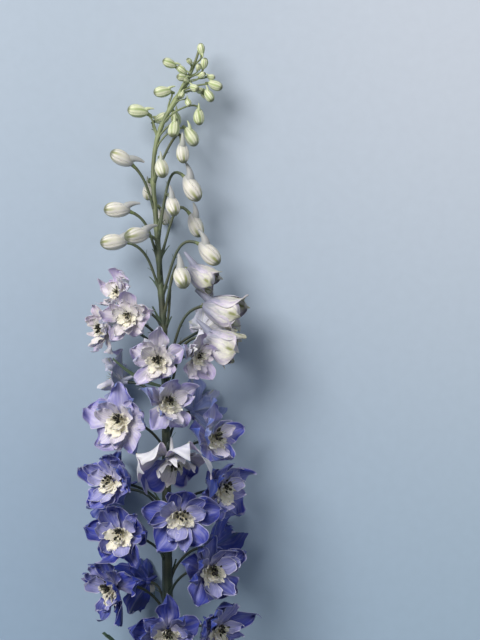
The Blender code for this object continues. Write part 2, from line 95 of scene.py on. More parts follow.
Bud = namedtuple("Bud", "height side front compass toward length")
BUDS = [Bud(*row) for row in (
    (478, -17, 8, -62, 10, 21),
    (440, -21, 6, -88, 5, 22),
    (415, -25, 4, -94, 5, 23),
    (420, -7, 18, -98, 35, 23),
    (467, 27, 8, 152, 10, 24),
    (437, 29, -4, 158, 0, 21),
    (413, 35, 4, 138, 5, 24),
    (393, 17, 21, 165, 40, 23),
    (393, 25, 4, 125, 10, 29),
    (363, 36, 8, 108, 10, 31),
    (338, 34, 15, 116, 8, 31),
    (494, 22, 16, 175, 10, 18),
    (450, 14, 16, 165, 30, 19),
)]
TIP_BUDS = [Bud(*row) for row in (
    (464, -4, -15, -175, -20, 16),
    (443, 4, -18, 160, -20, 16),
    (523, 3, -12, 165, -20, 14),
    (481, 6, 13, 170, 25, 18),
    (507, 22, 4, 152, 10, 17.5),
    (512, 11, 11, -170, 25, 15.5),
    (515, -8, -9, 70, -20, 14.5),
    (520, -16, 3, -80, 5, 17.5),
    (523, 24, 4, 178, 10, 14.5),
    (538, -9, 2, -96, 10, 15),
    (538, 20, 7, 150, 15, 12),
    (545, 19, 3, 115, 10, 13),
    (541, 6, 10, 120, 40, 10),
    (547, 0, 10, -78, 30, 10),
    (552, -3, 6, -50, 15, 10),
    (558, -14, 5, -65, 10, 12.5),
    (556, 9, 4, 15, 10, 10),
    (568, 3, 0, -5, 0, 10.5),
)]
# Too small for the packed model
TINY_BUDS = [Bud(*row) for row in (
    (549, 9, 6, 60, 30, 7.5),
    (545, 2, 9, -60, 40, 7.5),
    (540, 10, 4, 120, 20, 8.0),
    (536, 3, 9, -150, 40, 8.0),
    (531, 9, 7, 160, 30, 8.5),
    (555, 5, 4, 20, 40, 7.0),
    (560, -2, 5, -40, 40, 7.0),
    (550, 15, 4, 100, 10, 7.5),
    (538, 16, 2, 140, 0, 8.0),
)]
# Height, around, length, width, droop
LEAVES = ((34, -104, 72, 21, 0.15), (30, 108, 60, 19, 0.15))
print("florets", len(FLORETS), "buds", len(BUDS), "tip buds", len(TIP_BUDS), "leaves", len(LEAVES))

# %% [markdown]
# The rows don't know where the spike was set down. The stem's cut end tells: the middle of that ring of
# corners in the packed stem is where height zero is.

# %% The stem's middle at any height
CUT_RING_DEPTH = 0.7 * MM
STEM_TAPER = 1.1


def stem_line(height):
    """The middle of the stem before the spike is set down."""
    heights, sides = zip(*STEM_LINE)
    lift = LIFT_AT_CUT + (LIFT_AT_TIP - LIFT_AT_CUT) * height / STEM_LENGTH
    return np.array((np.interp(height, heights, sides), height, lift)) * MM


def cut_end():
    """The middle of the cut end's ring of corners in the packed stem."""
    corners = np.array([vertex.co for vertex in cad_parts["stem"].data.vertices])
    ring = corners[corners[:, 1] < corners[:, 1].min() + CUT_RING_DEPTH]
    return (ring.min(axis=0) + ring.max(axis=0)) / 2.0


SET_DOWN = cut_end() - stem_line(0)


def stem_at(height):
    return stem_line(height) + SET_DOWN


def stem_radius(height):
    share = min(max(height / STEM_LENGTH, 0.0), 1.0)
    return (STEM_RADIUS_AT_CUT + (STEM_RADIUS_AT_TIP - STEM_RADIUS_AT_CUT) * share ** STEM_TAPER) * MM


print("set down by", np.round(SET_DOWN / MM, 2), "mm")

# %% [markdown]
# Directions turn the rows' angles into unit vectors. A bloom's own axes are three rows: its side, its upper
# side or its back, and the way it faces.

# %% Directions
TIP_WAY = np.array((0.0, 1.0, 0.0))
UP = np.array((0.0, 0.0, 1.0))
ALONG_THE_STEM = 0.95
NOSE_SHARE = 0.9
ARRIVAL_LEAN = np.array((0.0, 0.5, 0.1))


def unit(vector):
    return vector / np.linalg.norm(vector)


def outward(around):
    angle = math.radians(around)
    return np.array((math.sin(angle), 0.0, math.cos(angle)))


def facing(turn, tilt):
    turn, tilt = math.radians(turn), math.radians(tilt)
    return np.array((math.sin(turn) * math.cos(tilt), math.sin(tilt), math.cos(turn) * math.cos(tilt)))


def axes_for(forward):
    """Axes that face forward, with the upper side toward the tip of the spike."""
    upper = UP if abs(forward @ TIP_WAY) > ALONG_THE_STEM else TIP_WAY
    side = unit(np.cross(upper, forward))
    return np.array((side, unit(np.cross(forward, side)), forward))


def floret_place(row):
    """A floret's axes and its middle."""
    middle = stem_at(row.height) + outward(row.around) * row.reach * MM
    return axes_for(facing(row.turn, row.tilt)), middle


def bud_place(row):
    """A bud's axes, with its nose as the last, its joint, and the way its pedicel arrives there."""
    nose = facing(row.compass, row.toward)[[0, 2, 1]]
    arrival = unit(nose * NOSE_SHARE + ARRIVAL_LEAN)
    back = unit(arrival - nose * (arrival @ nose))
    joint = stem_at(row.height) + np.array((row.side, 0.0, row.front)) * MM
    return np.array((np.cross(back, nose), back, nose)), joint, arrival


def as_placed(local, axes, place):
    return local @ axes + place


def placement(axes, place):
    """The matrix that does to a mesh what as_placed does to points."""
    matrix = Matrix(axes.T.tolist()).to_4x4()
    matrix.translation = place
    return matrix


print("first floret stands at", np.round(floret_place(FLORETS[0])[1], 3))

# %% [markdown]
# ## Room for each floret
# Florets crowd each other on the stem, and their petals bend away where they would meet. Letting a
# simulation push them apart is slow and hard to repeat. Here each floret has a room of flat walls instead,
# halfway to its neighbours, to the stem and to the table. A point that comes near a wall is eased back, and
# never reaches it.

# %% Rooms
BEND_FROM = 6.0 * MM
CLOSEST = 0.5 * MM
PASSES = 6
NEIGHBOUR_REACH = 75.0 * MM
STEM_CLEARANCE = 13.0 * MM
TABLE_TOUCH = 0.3 * MM
# Shares of a floret's width and of a bud's length
FLORET_MIDDLE = 0.14
FLORET_SIZE = 0.5
BUD_MIDDLE = 0.4
BUD_SIZE = 0.42


class Room:
    """A middle with flat walls round it. Each wall is a direction and a distance."""

    def __init__(self, middle):
        self.middle = middle
        self.walls = []

    def overrun(self, points):
        """How far the worst of the points lies beyond a wall."""
        flat = points.reshape(-1, 3) - self.middle
        return max(float((flat @ normal).max()) - distance for normal, distance in self.walls)

    def press(self, points):
        """Eases points back from each wall that they come near, and keeps them clear of them all."""
        flat = points.reshape(-1, 3) - self.middle
        span = BEND_FROM - CLOSEST
        limits = []
        for normal, distance in self.walls:
            inside = distance - flat @ normal
            kept = CLOSEST + span * np.exp(np.minimum(inside - BEND_FROM, 0.0) / span)
            limits.append((normal, distance - kept))
        for _ in range(PASSES):
            for normal, limit in limits:
                flat -= np.maximum(flat @ normal - limit, 0.0)[:, None] * normal
        return (flat + self.middle).reshape(points.shape)


def ball_of(row):
    """A bloom as a ball: its middle and its radius."""
    if isinstance(row, Floret):
        axes, place = floret_place(row)
        return place + axes[2] * FLORET_MIDDLE * row.width * MM, FLORET_SIZE * row.width * MM
    axes, joint, _ = bud_place(row)
    return joint + axes[2] * BUD_MIDDLE * row.length * MM, BUD_SIZE * row.length * MM


def floret_rooms():
    balls = [ball_of(row) for row in FLORETS + BUDS]
    rooms = []
    for row, (middle, size) in zip(FLORETS, balls):
        room = Room(middle)
        for other, other_size in balls:
            between = other - middle
            distance = np.linalg.norm(between)
            if 0.0 < distance < NEIGHBOUR_REACH:
                room.walls.append((between / distance, distance * (size / (size + other_size))))
        away = outward(row.around)
        room.walls.append((-away, (middle - stem_at(row.height)) @ away - STEM_CLEARANCE))
        room.walls.append((-UP, middle[2] + TABLE_TOUCH))
        rooms.append(room)
    return rooms


rooms = floret_rooms()
print("walls in each room", [len(room.walls) for room in rooms])

# %% [markdown]
# ## One helper for node trees
# Geometry Nodes and shaders are both trees of sockets. Wrapping a socket in a small class lets the maths
# read like Python: an expression such as 1 - mask * 0.5 adds its Math nodes by itself. Every other node
# comes from one method. There a name in small letters is a setting, and a name with a capital is a socket.

# %% Wire


class Wire:
    """An output socket. Arithmetic on it adds Math nodes, or Vector Math nodes where one side is a vector."""

    def __init__(self, tree, socket):
        self.tree = tree
        self.socket = socket

    @staticmethod
    def node(tree, kind, *values, output=0, **named):
        """Adds a node, sets its settings, then gives its sockets values or links, by order or by name."""
        made = tree.nodes.new(kind)
        for name, value in named.items():
            if name == "stops":
                Wire.set_stops(made.color_ramp, value)
            elif name[0].islower():
                setattr(made, name, value)
        shown = [socket for socket in made.inputs if socket.enabled]
        first = {socket.name: socket for socket in reversed(shown)}
        given = list(zip(shown, values))
        given += [
            (first[name.replace("_", " ")], value) for name, value in named.items() if name[0].isupper()]
        for socket, value in given:
            if isinstance(value, Wire):
                tree.links.new(value.socket, socket)
            else:
                socket.default_value = value
        results = [socket for socket in made.outputs if socket.enabled]
        return Wire(tree, results[output] if isinstance(output, int) else made.outputs[output])

    @staticmethod
    def set_stops(ramp, stops):
        while len(ramp.elements) < len(stops):
            ramp.elements.new(1.0)
        for element, (position, colour) in zip(ramp.elements, stops):
            element.position = position
            element.color = (*colour, 1.0)

    @staticmethod
    def sum_of(operation, *values):
        """A Math node on numbers and wires, or a Vector Math node if any of them is a vector."""
        tree = next(value.tree for value in values if isinstance(value, Wire))
        if any(isinstance(v, tuple) or isinstance(v, Wire) and v.is_vector() for v in values):
            values = [(v, v, v) if isinstance(v, (int, float)) else v for v in values]
            return Wire.node(tree, "ShaderNodeVectorMath", *values, operation=operation)
        return Wire.node(tree, "ShaderNodeMath", *values, operation=operation)

    def is_vector(self):
        return self.socket.type in {"VECTOR", "RGBA"}

    def maths(self, operation, *others):
        return Wire.sum_of(operation, self, *others)

    def part(self, name):
        """One of a vector's three numbers."""
        return Wire.node(self.tree, "ShaderNodeSeparateXYZ", Vector=self, output=name)

    def clamp(self):
        return Wire.node(self.tree, "ShaderNodeClamp", Value=self)

    def step(self, low, high):
        """Rises smoothly from 0 at low to 1 at high."""
        return Wire.node(
            self.tree, "ShaderNodeMapRange", interpolation_type="SMOOTHSTEP", Value=self, From_Min=low,
            From_Max=high)

    def between(self, start, end):
        """Mixes two colours by this factor."""
        start, end = ((*c, 1.0) if isinstance(c, tuple) else c for c in (start, end))
        return Wire.node(self.tree, "ShaderNodeMix", data_type="RGBA", Factor=self, A=start, B=end)

    def __add__(self, other):
        return self.maths("ADD", other)

    def __sub__(self, other):
        return self.maths("SUBTRACT", other)

    def __rsub__(self, other):
        return Wire.sum_of("SUBTRACT", other, self)

    def __mul__(self, other):
        return self.maths("MULTIPLY", other)

    def __truediv__(self, other):
        return self.maths("DIVIDE", other)

    def __pow__(self, other):
        return self.maths("POWER", other)

    __radd__ = __add__
    __rmul__ = __mul__


def vector_of(tree, x, y, z):
    return Wire.node(tree, "ShaderNodeCombineXYZ", x, y, z)


print("Wire has", sum(callable(value) for value in vars(Wire).values()), "methods")

# %% [markdown]
# ## Thin sheets
# A petal is a sheet less than half a millimetre thick. Solidify could give it that wall, but its front and
# back would then share every attribute. Building both faces from one grid lets the material know which side
# it is on.

# %% Stock
SHARP_EDGE = math.radians(55)
EDGE_THINNING = 0.55
TUBE_END = 0.05
OFF_EVERY_AXIS = np.array((0.31, 0.27, 0.91))


def set_trait(mesh, name, values):
    """Stores one number at each point of a mesh."""
    mesh.attributes.new(name, "FLOAT", "POINT").data.foreach_set("value", values.astype(np.float32))


def place_piece(name, mesh):
    piece = bpy.data.objects.new(name, mesh)
    bpy.context.scene.collection.objects.link(piece)
    return piece


def stand_for(piece, slot, *nodes):
    """Lets a finished piece ride on the part's one body in place of packed nodes, and hides these. The slot
    is not used.
    """
    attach(piece, "root")
    if nodes:
        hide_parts(*nodes)


class Stock:
    """Collects closed sheets and tubes with their UV map and traits, and makes one mesh of them."""

    def __init__(self):
        self.points = []
        self.faces = []
        self.uvs = []
        self.traits = {}
        self.count = 0

    def add(self, points, faces, uvs, traits):
        self.points.append(points)
        self.faces.extend((faces + self.count).tolist())
        self.uvs.append(uvs)
        for name, values in traits.items():
            self.traits.setdefault(name, []).append(np.broadcast_to(values, len(points)))
        self.count += len(points)

    def add_sheet(self, grid, thickness, across, along, /, **traits):
        """A closed sheet round a grid of points. Its front faces the cross product of along and across."""
        size = across.size
        normal = np.cross(np.gradient(grid, axis=0), np.gradient(grid, axis=1))
        normal = normal / np.maximum(np.linalg.norm(normal, axis=2, keepdims=True), 1e-12)
        wall = thickness * (1.0 - EDGE_THINNING * across ** 2)[..., None] / 2.0
        points = np.concatenate([(grid + normal * depth).reshape(-1, 3) for depth in (wall, -wall)])
        index = np.arange(size).reshape(across.shape)
        corners = (index[:-1, :-1], index[1:, :-1], index[1:, 1:], index[:-1, 1:])
        front = np.stack(corners, axis=2).reshape(-1, 4)
        rim = np.concatenate((index[:, 0], index[-1, 1:], index[-2::-1, -1], index[0, -2:0:-1]))
        after = np.roll(rim, -1)
        sides = np.stack((rim + size, after + size, after, rim), axis=1)
        uvs = np.stack(((across + 1.0) / 2.0, along), axis=2).reshape(-1, 2)
        both = {
            name: np.tile(np.broadcast_to(value, across.shape).ravel(), 2) for name, value in traits.items()}
        both["back"] = np.repeat((0.0, 1.0), size)
        self.add(points, np.concatenate((front, front[:, ::-1] + size, sides)), np.tile(uvs, (2, 1)), both)

    def add_tube(self, line, radii, sides, **traits):
        """A round tube through points, closed at both ends by shrinking rings."""
        twice_ended = [0, *range(len(line)), -1]
        steps = np.gradient(line, axis=0)[twice_ended]
        line = np.array(line)[twice_ended]
        radii = np.concatenate((radii[:1] * TUBE_END, radii, radii[-1:] * TUBE_END))
        angles = 2.0 * math.pi * np.arange(sides) / sides
        rings = []
        for place, step, radius in zip(line, steps, radii):
            ahead = unit(step)
            side = unit(np.cross(ahead, OFF_EVERY_AXIS))
            turned = np.cross(side, ahead)
            rings.append(place + radius * (np.outer(np.cos(angles), side) + np.outer(np.sin(angles), turned)))
        index = np.arange(len(line) * sides).reshape(len(line), sides)
        after = np.roll(index, -1, axis=1)
        walls = np.stack((index[:-1], index[1:], after[1:], after[:-1]), axis=2).reshape(-1, 4)
        along = np.repeat(np.linspace(0.0, 1.0, len(line)), sides)
        uvs = np.stack((np.tile(angles / (2.0 * math.pi), len(line)), along), axis=1)
        start = self.count
        self.add(np.concatenate(rings), walls, uvs, {**traits, "back": 1.0})
        self.faces.append((index[0] + start).tolist())
        self.faces.append((index[-1][::-1] + start).tolist())

    def make(self, name, material):
        mesh = bpy.data.meshes.new(name)
        mesh.from_pydata(np.concatenate(self.points).tolist(), [], self.faces)
        corners = np.empty(len(mesh.loops), dtype=np.int32)
        mesh.loops.foreach_get("vertex_index", corners)
        layer = mesh.uv_layers.new(name="UVMap")
        layer.data.foreach_set("uv", np.concatenate(self.uvs)[corners].astype(np.float32).ravel())
        for trait, values in self.traits.items():
            set_trait(mesh, trait, np.concatenate(values))
        mesh.materials.append(material)
        mesh.shade_smooth()
        mesh.set_sharp_from_angle(angle=SHARP_EDGE)
        return place_piece(name, mesh)


print("a wall thins by", EDGE_THINNING, "of itself toward each edge")

# %% [markdown]
# ## The petal rule
# Sepals, inner petals and the frilled petals of the eye are all one rule with other numbers: how far it
# reaches, how wide it spreads, how it rises, curls and cups, and how its edge waves. Across runs from -1 to
# 1 and along from 0 at the root to 1 at the tip, so a grid of any fineness takes the same form.

# %% Petal rule
ROUND_FROM = 0.55
ROUNDNESS = 2.6
EDGE_CROWDING = 0.86


def petal_grid(rows, columns):
    """Across and along for a grid whose rows close up toward the tip."""
    along = np.sin(np.linspace(0.0, 1.0, rows) * math.pi / 2.0) ** 1.1
    turn = math.pi / 2.0 * EDGE_CROWDING
    across = np.sin(np.linspace(-1.0, 1.0, columns) * math.pi / 2.0 * EDGE_CROWDING) / math.sin(turn)
    return np.meshgrid(across, along)


def petal(across, along, angle, root, length, width, rise, curl, cup, lean, wave, phase,
          frill=0.0, frills=3.0, notch=0.0, crease=0.0, pinch=0.0, ragged=0.0, point=0.0, sway=0.0):
    """Points of a petal in its floret's own axes."""
    out = np.array((math.cos(angle), math.sin(angle), 0.0))
    side = np.array((-math.sin(angle), math.cos(angle), 0.0))
    edge = np.abs(across)
    begin = ROUND_FROM - 0.2 * point
    tip = np.clip((along - begin) / (1.0 - begin), 0.0, 1.0)
    spread = 0.12 + 0.90 * np.sin(math.pi * (0.78 - 0.06 * point) * along ** (1.4 - 0.3 * point))
    spread *= np.sqrt(1.0 - 0.998 * tip ** (ROUNDNESS - 1.2 * point))
    spread *= 1.0 + ragged * np.sin(2.0 * math.pi * 2.3 * along + 2.1 * phase + 1.3 * np.sign(across))
    dent = notch * tip * np.exp(-(across / 0.3) ** 2)
    teeth = ragged * 0.6 * tip * np.cos(3.5 * math.pi * across + phase)
    reach = root + length * math.cos(rise) * (along - 0.12 * (across * along) ** 2 - dent + teeth * edge)
    height = length * (math.sin(rise) * along - curl * along ** 2)
    height += width * cup * (across * along) ** 2
    height += width * lean * across * along
    height += width * wave * across * np.sin(2.0 * math.pi * along + phase)
    ripple = np.sin(2.0 * math.pi * frills * along + 1.9 * phase + 1.1 * np.sign(across))
    height += width * frill * edge ** 2.5 * along * ripple
    height -= width * crease * np.exp(-(across / 0.22) ** 2) * np.sin(math.pi * along)
    height += width * pinch * tip ** 2 * (edge - 0.35)
    sideways = (across * spread * width / 2.0 + length * sway * along ** 2)[..., None]
    return reach[..., None] * out + sideways * side + height[..., None] * UP


print("one sepal has", petal_grid(28, 17)[0].size, "points on each face")


# %% Petals that fit their room
FIT_STEPS = 12
FIT_SHORTER = 0.965
FIT_STEEPER = math.radians(4.0)
STEEPEST = math.radians(80.0)
OVERRUN_ALLOWED = 4.5 * MM


class Bloom:
    """A floret or an eye under way: its axes and place, its room, its own draws, and what is laid so far."""

    def __init__(self, number, row, seed):
        self.axes, self.place = floret_place(row)
        self.room = rooms[number - 1]
        self.fine = random.Random(seed + number)
        self.stock = Stock()

    def add_petal(self, grid, lift, wall, form, **traits):
        """Shortens and raises a petal until its room needs to press it only a little, and then presses it."""
        for _ in range(FIT_STEPS):
            points = as_placed(petal(*grid, **form) + lift * UP, self.axes, self.place)
            if self.room.overrun(points) < OVERRUN_ALLOWED:
                break
            form["length"] *= FIT_SHORTER
            form["rise"] = min(form["rise"] + FIT_STEEPER, STEEPEST)
        self.stock.add_sheet(self.room.press(points), wall, *grid, **traits)

    def add_tube(self, line, radii, sides, **traits):
        """A tube along a line in the bloom's own axes, in millimetres."""
        line = as_placed(np.array(line) * MM, self.axes, self.place)
        self.stock.add_tube(line, np.array(radii) * MM, sides, **traits)


print("a petal is fitted in up to", FIT_STEPS, "steps")

# %% [markdown]
# ## Petal skin
# Real sepals are darkest on the outer body and paler near the eye, with streaks that follow the veins, a
# pale rim and a bluer back with a green midrib. One material holds it all. Each petal carries its tone,
# from 0 for the palest floret near the top to 1 for the deepest one, its layer, 0 for sepals and 1 for
# inner petals, and a chance value that sets its streaks apart from its neighbours'.

# %% Shader helpers


class Finish:
    """A material under way: its even values are set first, and dress feeds what changes over the surface."""

    def __init__(self, name, roughness, sheen=0.0, subsurface=0.0):
        self.material = bpy.data.materials.new(name)
        self.material.use_nodes = True
        self.tree = self.material.node_tree
        self.inputs = self.tree.nodes["Principled BSDF"].inputs
        for socket, value in (
                ("Roughness", roughness), ("Sheen Weight", sheen), ("Sheen Roughness", 0.4),
                ("Subsurface Weight", subsurface), ("Subsurface Radius", (0.6, 0.5, 1.0)),
                ("Subsurface Scale", 1.0 * MM)):
            self.inputs[socket].default_value = value

    def feed(self, name, wire):
        self.tree.links.new(wire.socket, self.inputs[name])

    def dress(self, colour, roughness, relief, strength, depth):
        """Feeds the colour, the roughness and the bumps, and returns the material."""
        self.feed("Base Color", colour)
        self.feed("Roughness", roughness.clamp())
        bump = Wire.node(self.tree, "ShaderNodeBump", Height=relief, Strength=strength, Distance=depth)
        self.feed("Normal", bump)
        return self.material


def traits_of(tree, *names):
    return [Wire.node(tree, "ShaderNodeAttribute", attribute_name=name, output="Fac") for name in names]


def uv_parts(tree):
    """Across from -1 to 1 and along from 0 to 1, from the UV map."""
    uv = Wire.node(tree, "ShaderNodeUVMap", uv_map="UVMap")
    return uv.part("X") * 2.0 - 1.0, uv.part("Y")


def object_place(tree):
    return Wire.node(tree, "ShaderNodeTexCoord", output="Object")


def noise(tree, vector, scale, detail=2.0, roughness=0.5):
    return Wire.node(
        tree, "ShaderNodeTexNoise", Vector=vector, Scale=scale, Detail=detail, Roughness=roughness,
        output="Fac")


def coated(colour, *coats):
    """A colour under coats. Each coat is a pair: how much of it shows, and its own colour."""
    for share, coat in coats:
        colour = share.between(colour, coat)
    return colour


print("helpers for traits, maps, places, noise and coats are ready")

# %% Petal skin
# Where each colour lies on the way from the palest floret, 0, to the deepest, 1
THROAT = ((0.0, (0.76, 0.73, 0.69)), (0.45, (0.76, 0.73, 0.75)), (1.0, (0.50, 0.49, 0.74)))
BODY = (
    (0.0, (0.70, 0.64, 0.70)), (0.35, (0.62, 0.57, 0.78)), (0.65, (0.24, 0.245, 0.65)),
    (1.0, (0.046, 0.066, 0.42)))
OUTER = (
    (0.0, (0.58, 0.48, 0.67)), (0.35, (0.30, 0.27, 0.62)), (0.65, (0.060, 0.082, 0.46)),
    (1.0, (0.013, 0.024, 0.26)))
PALE = ((0.0, (0.78, 0.755, 0.735)), (0.5, (0.80, 0.77, 0.80)), (1.0, (0.67, 0.66, 0.84)))
BEHIND = (
    (0.0, (0.72, 0.71, 0.76)), (0.35, (0.22, 0.27, 0.52)), (0.65, (0.060, 0.100, 0.41)),
    (1.0, (0.012, 0.026, 0.22)))
MIDRIB = ((0.0, (0.40, 0.44, 0.22)), (1.0, (0.06, 0.10, 0.15)))


def petal_skin():
    skin = Finish("petal_skin", 0.45, sheen=0.25, subsurface=0.15)
    tree = skin.tree
    tone, layer, chance, back = traits_of(tree, "tone", "layer", "chance", "back")
    across, along = uv_parts(tree)
    edge = across.maths("ABSOLUTE")
    streak = noise(tree, vector_of(tree, across * 5.0, along * 1.3, chance * 40.0), 1.0, 3.0, 0.6)
    cloud = noise(tree, object_place(tree), 60.0, 3.0, 0.55)
    drift = noise(tree, vector_of(tree, across * 1.1, along * 1.4, chance * 17.0), 1.6, 2.0)
    grain = noise(tree, vector_of(tree, across * 30.0, along * 60.0, chance * 9.0), 1.0)
    veins = (across * (6.0 + 3.0 * (1.0 - along)) * math.pi + streak * 3.0).maths("COSINE")
    throat, body, outer, pale, behind, green = (
        Wire.node(tree, "ShaderNodeValToRGB", stops=stops, Fac=tone, output="Color")
        for stops in (THROAT, BODY, OUTER, PALE, BEHIND, MIDRIB))

    reach = along + (streak - 0.5) * 0.30 + (drift - 0.5) * 0.9 + tone * 0.16
    deep = (along * 0.70 + edge * 0.40 + (cloud - 0.5) * 0.9 + (drift - 0.5) * 0.6).step(0.48, 0.92)
    blaze = ((streak - 0.42) * 3.0).clamp() * (1.0 - edge * 0.8) * (1.0 - along * 0.45)
    rim = edge.step(0.90, 1.0).maths("MAXIMUM", along.step(0.95, 1.0))
    front = coated(
        throat,
        (reach.step(0.16, 0.66), body),
        (deep * (1.0 - 0.6 * layer), outer),
        (((blaze + layer * (0.20 + cloud * 0.55)) * (1.0 - tone * 0.45)).clamp(), pale),
        ((rim * (0.15 + drift * 0.5 + layer * 0.4 + tone * 0.25)).clamp(), pale))
    rear = coated(
        behind,
        (((1.0 - edge.step(0.02, 0.22)) * (0.25 + along.step(0.7, 0.98) * 0.6)).clamp(), green),
        (((streak - 0.52) * 1.8 * (1.0 - tone * 0.5)).clamp(), pale))
    shade = 0.95 + 0.05 * veins + 0.16 * (cloud - 0.5)
    colour = back.between(front, rear).maths("MULTIPLY", shade)
    return skin.dress(colour, 0.38 + cloud * 0.22, veins * 0.35 + grain * 0.5, 0.25, 0.25 * MM)


PETAL_SKIN = petal_skin()
print("petal skin nodes", len(PETAL_SKIN.node_tree.nodes))

# %% [markdown]
# ## Florets
# Each floret has five broad sepals and, inside them, a double ring of shorter cupped petals. Its solid has
# the same sepals and two or three of the inner petals, so the same random draws put each fine petal on its
# faceted one. The sepals get a waved, creased edge and a pinched tip, and more inner petals fill the ring.
# One floret has white upper sepals that hang over its blue lower ones like a hood.

# %% Florets
SEPALS = 5
SEPAL_ROOT = 1.4 * MM
SEPAL_DROP = 0.8 * MM
SEPAL_WALL = 0.42 * MM
SEPAL_REACH = 1.1
SEPAL_RISE = 16
RISE_OF_CLOSED = 40
INNER_RISE = 26
INNER_FOLLOW = 0.7
INNER_PALER = 0.12
PETAL_ROOT = 1.6 * MM
PETAL_LIFT = 1.0 * MM
PETAL_WALL = 0.34 * MM
RING_PETALS = 6
PALEST_FROM = 365.0
TONE_SPAN = 170.0
TONE_POWER = 1.5
PALE_TONES = {9: 0.02, 18: 0.0}
HOODS = (9,)
HOOD_BREADTH = 1.3
HOOD_RING = 2
HOOD_LOW_TONE = 0.72
HOOD_POINT = 0.3
LOWER_SEPALS = (2, 3)
SPUR_LINE = ((0.0, 1.6, -0.5), (0.0, 2.6, -3.5), (0.0, 4.4, -8.0), (0.0, 6.0, -12.0), (0.0, 6.2, -13.4))
SPUR_RADII = (2.1, 1.9, 1.45, 0.95, 0.5)
CONE_LINE = ((0.0, 0.0, -5.0), (0.0, 0.0, -3.6), (0.0, 0.0, -1.8), (0.0, 0.0, 0.6), (0.0, 0.0, 2.4))
CONE_RADII = (1.5, 1.8, 2.3, 3.1, 3.0)


def tone_of(number, row):
    """0 for the palest florets near the top, 1 for the deepest ones at the bottom."""
    depth = float(np.clip((PALEST_FROM - row.height) / TONE_SPAN, 0.0, 1.0)) ** TONE_POWER
    return PALE_TONES.get(number, depth)


def build_floret(number, row):
    bloom = Bloom(number, row, 1000)
    draw = bloom.fine.uniform
    # The packed floret's own draws, in its own order
    packed = random.Random(number).uniform
    tone = tone_of(number, row) + draw(-0.06, 0.06)
    half = SEPAL_REACH * row.width / 2.0 * MM
    sepal_rise = math.radians(SEPAL_RISE + RISE_OF_CLOSED * (1.0 - row.openness))
    inner_rise = INNER_FOLLOW * sepal_rise + math.radians(INNER_RISE)
    hood = number in HOODS
    broad, blunt, ring = (HOOD_BREADTH, HOOD_POINT, HOOD_RING) if hood else (1.0, 1.0, RING_PETALS)

    grid = petal_grid(28, 17)
    for sepal in range(SEPALS):
        form = dict(
            angle=math.radians(90 + 360.0 / SEPALS * sepal + packed(-3, 3)), root=SEPAL_ROOT,
            length=half * draw(1.0, 1.22), width=half * packed(0.80, 0.92) * draw(0.80, 1.06) * broad,
            rise=sepal_rise + math.radians(draw(-8, 8)), curl=packed(0.05, 0.20) + draw(-0.1, 0.15),
            cup=draw(0.05, 0.22), lean=0.21 * draw(0.3, 1.3), wave=packed(0.02, 0.04) + draw(0.03, 0.08),
            phase=packed(0, 6.28), frill=draw(0.08, 0.14), frills=draw(1.6, 3.0), crease=draw(0.04, 0.12),
            pinch=draw(0.0, 0.25), ragged=draw(0.03, 0.07), point=draw(0.45, 1.0) * blunt,
            sway=draw(-0.14, 0.14))
        sepal_tone = HOOD_LOW_TONE if hood and sepal in LOWER_SEPALS else tone
        bloom.add_petal(grid, -SEPAL_DROP, SEPAL_WALL, form, tone=sepal_tone + draw(-0.05, 0.15), layer=0.0,
                        chance=bloom.fine.random())

    inner_count = 3 if abs(row.around) < 90 else 2
    start = packed(-15, 15)
    grid = petal_grid(20, 13)
    for inner in range(inner_count):
        form = dict(
            angle=math.radians(-90 + start + 360.0 / inner_count * inner), root=PETAL_ROOT,
            length=half * packed(0.60, 0.70) * draw(1.0, 1.15), width=half * draw(0.40, 0.52),
            rise=inner_rise, curl=packed(-0.05, 0.05) + draw(0.0, 0.15), cup=0.30, lean=0.10, wave=0.08,
            phase=packed(0, 6.28), frill=0.12, crease=0.05, notch=draw(0.0, 0.1), ragged=0.06,
            point=draw(0.2, 0.8), sway=draw(-0.15, 0.15))
        bloom.add_petal(grid, PETAL_LIFT, PETAL_WALL, form, tone=tone - INNER_PALER, layer=1.0,
                        chance=bloom.fine.random())
    for inner in range(ring):
        form = dict(
            angle=math.radians(54 + 360.0 / RING_PETALS * inner + draw(-20, 20)), root=PETAL_ROOT,
            length=half * draw(0.66, 0.96), width=half * draw(0.36, 0.54),
            rise=0.5 * (sepal_rise + inner_rise) + math.radians(draw(-8, 10)), curl=draw(0.0, 0.25),
            cup=draw(0.1, 0.4), lean=draw(-0.3, 0.3), wave=0.10, phase=draw(0, 6.28), frill=0.12, crease=0.06,
            notch=draw(0.0, 0.08), ragged=0.06, point=draw(0.3, 1.0), sway=draw(-0.2, 0.2))
        bloom.add_petal(grid, 0.0, PETAL_WALL, form, tone=tone + draw(-0.12, 0.08), layer=draw(0.2, 0.9),
                        chance=bloom.fine.random())

    for line, radii, sides in ((SPUR_LINE, SPUR_RADII, 12), (CONE_LINE, CONE_RADII, 14)):
        bloom.add_tube(line, radii, sides, tone=tone, layer=0.0, chance=0.5)
    piece = bloom.stock.make(f"petals_{number:02d}", PETAL_SKIN)
    stand_for(piece, "petal", f"floret_{number:02d}")
    return piece


florets = [build_floret(number, row) for number, row in enumerate(FLORETS, 1)]
print("florets", len(florets), "faces each about", len(florets[5].data.polygons))
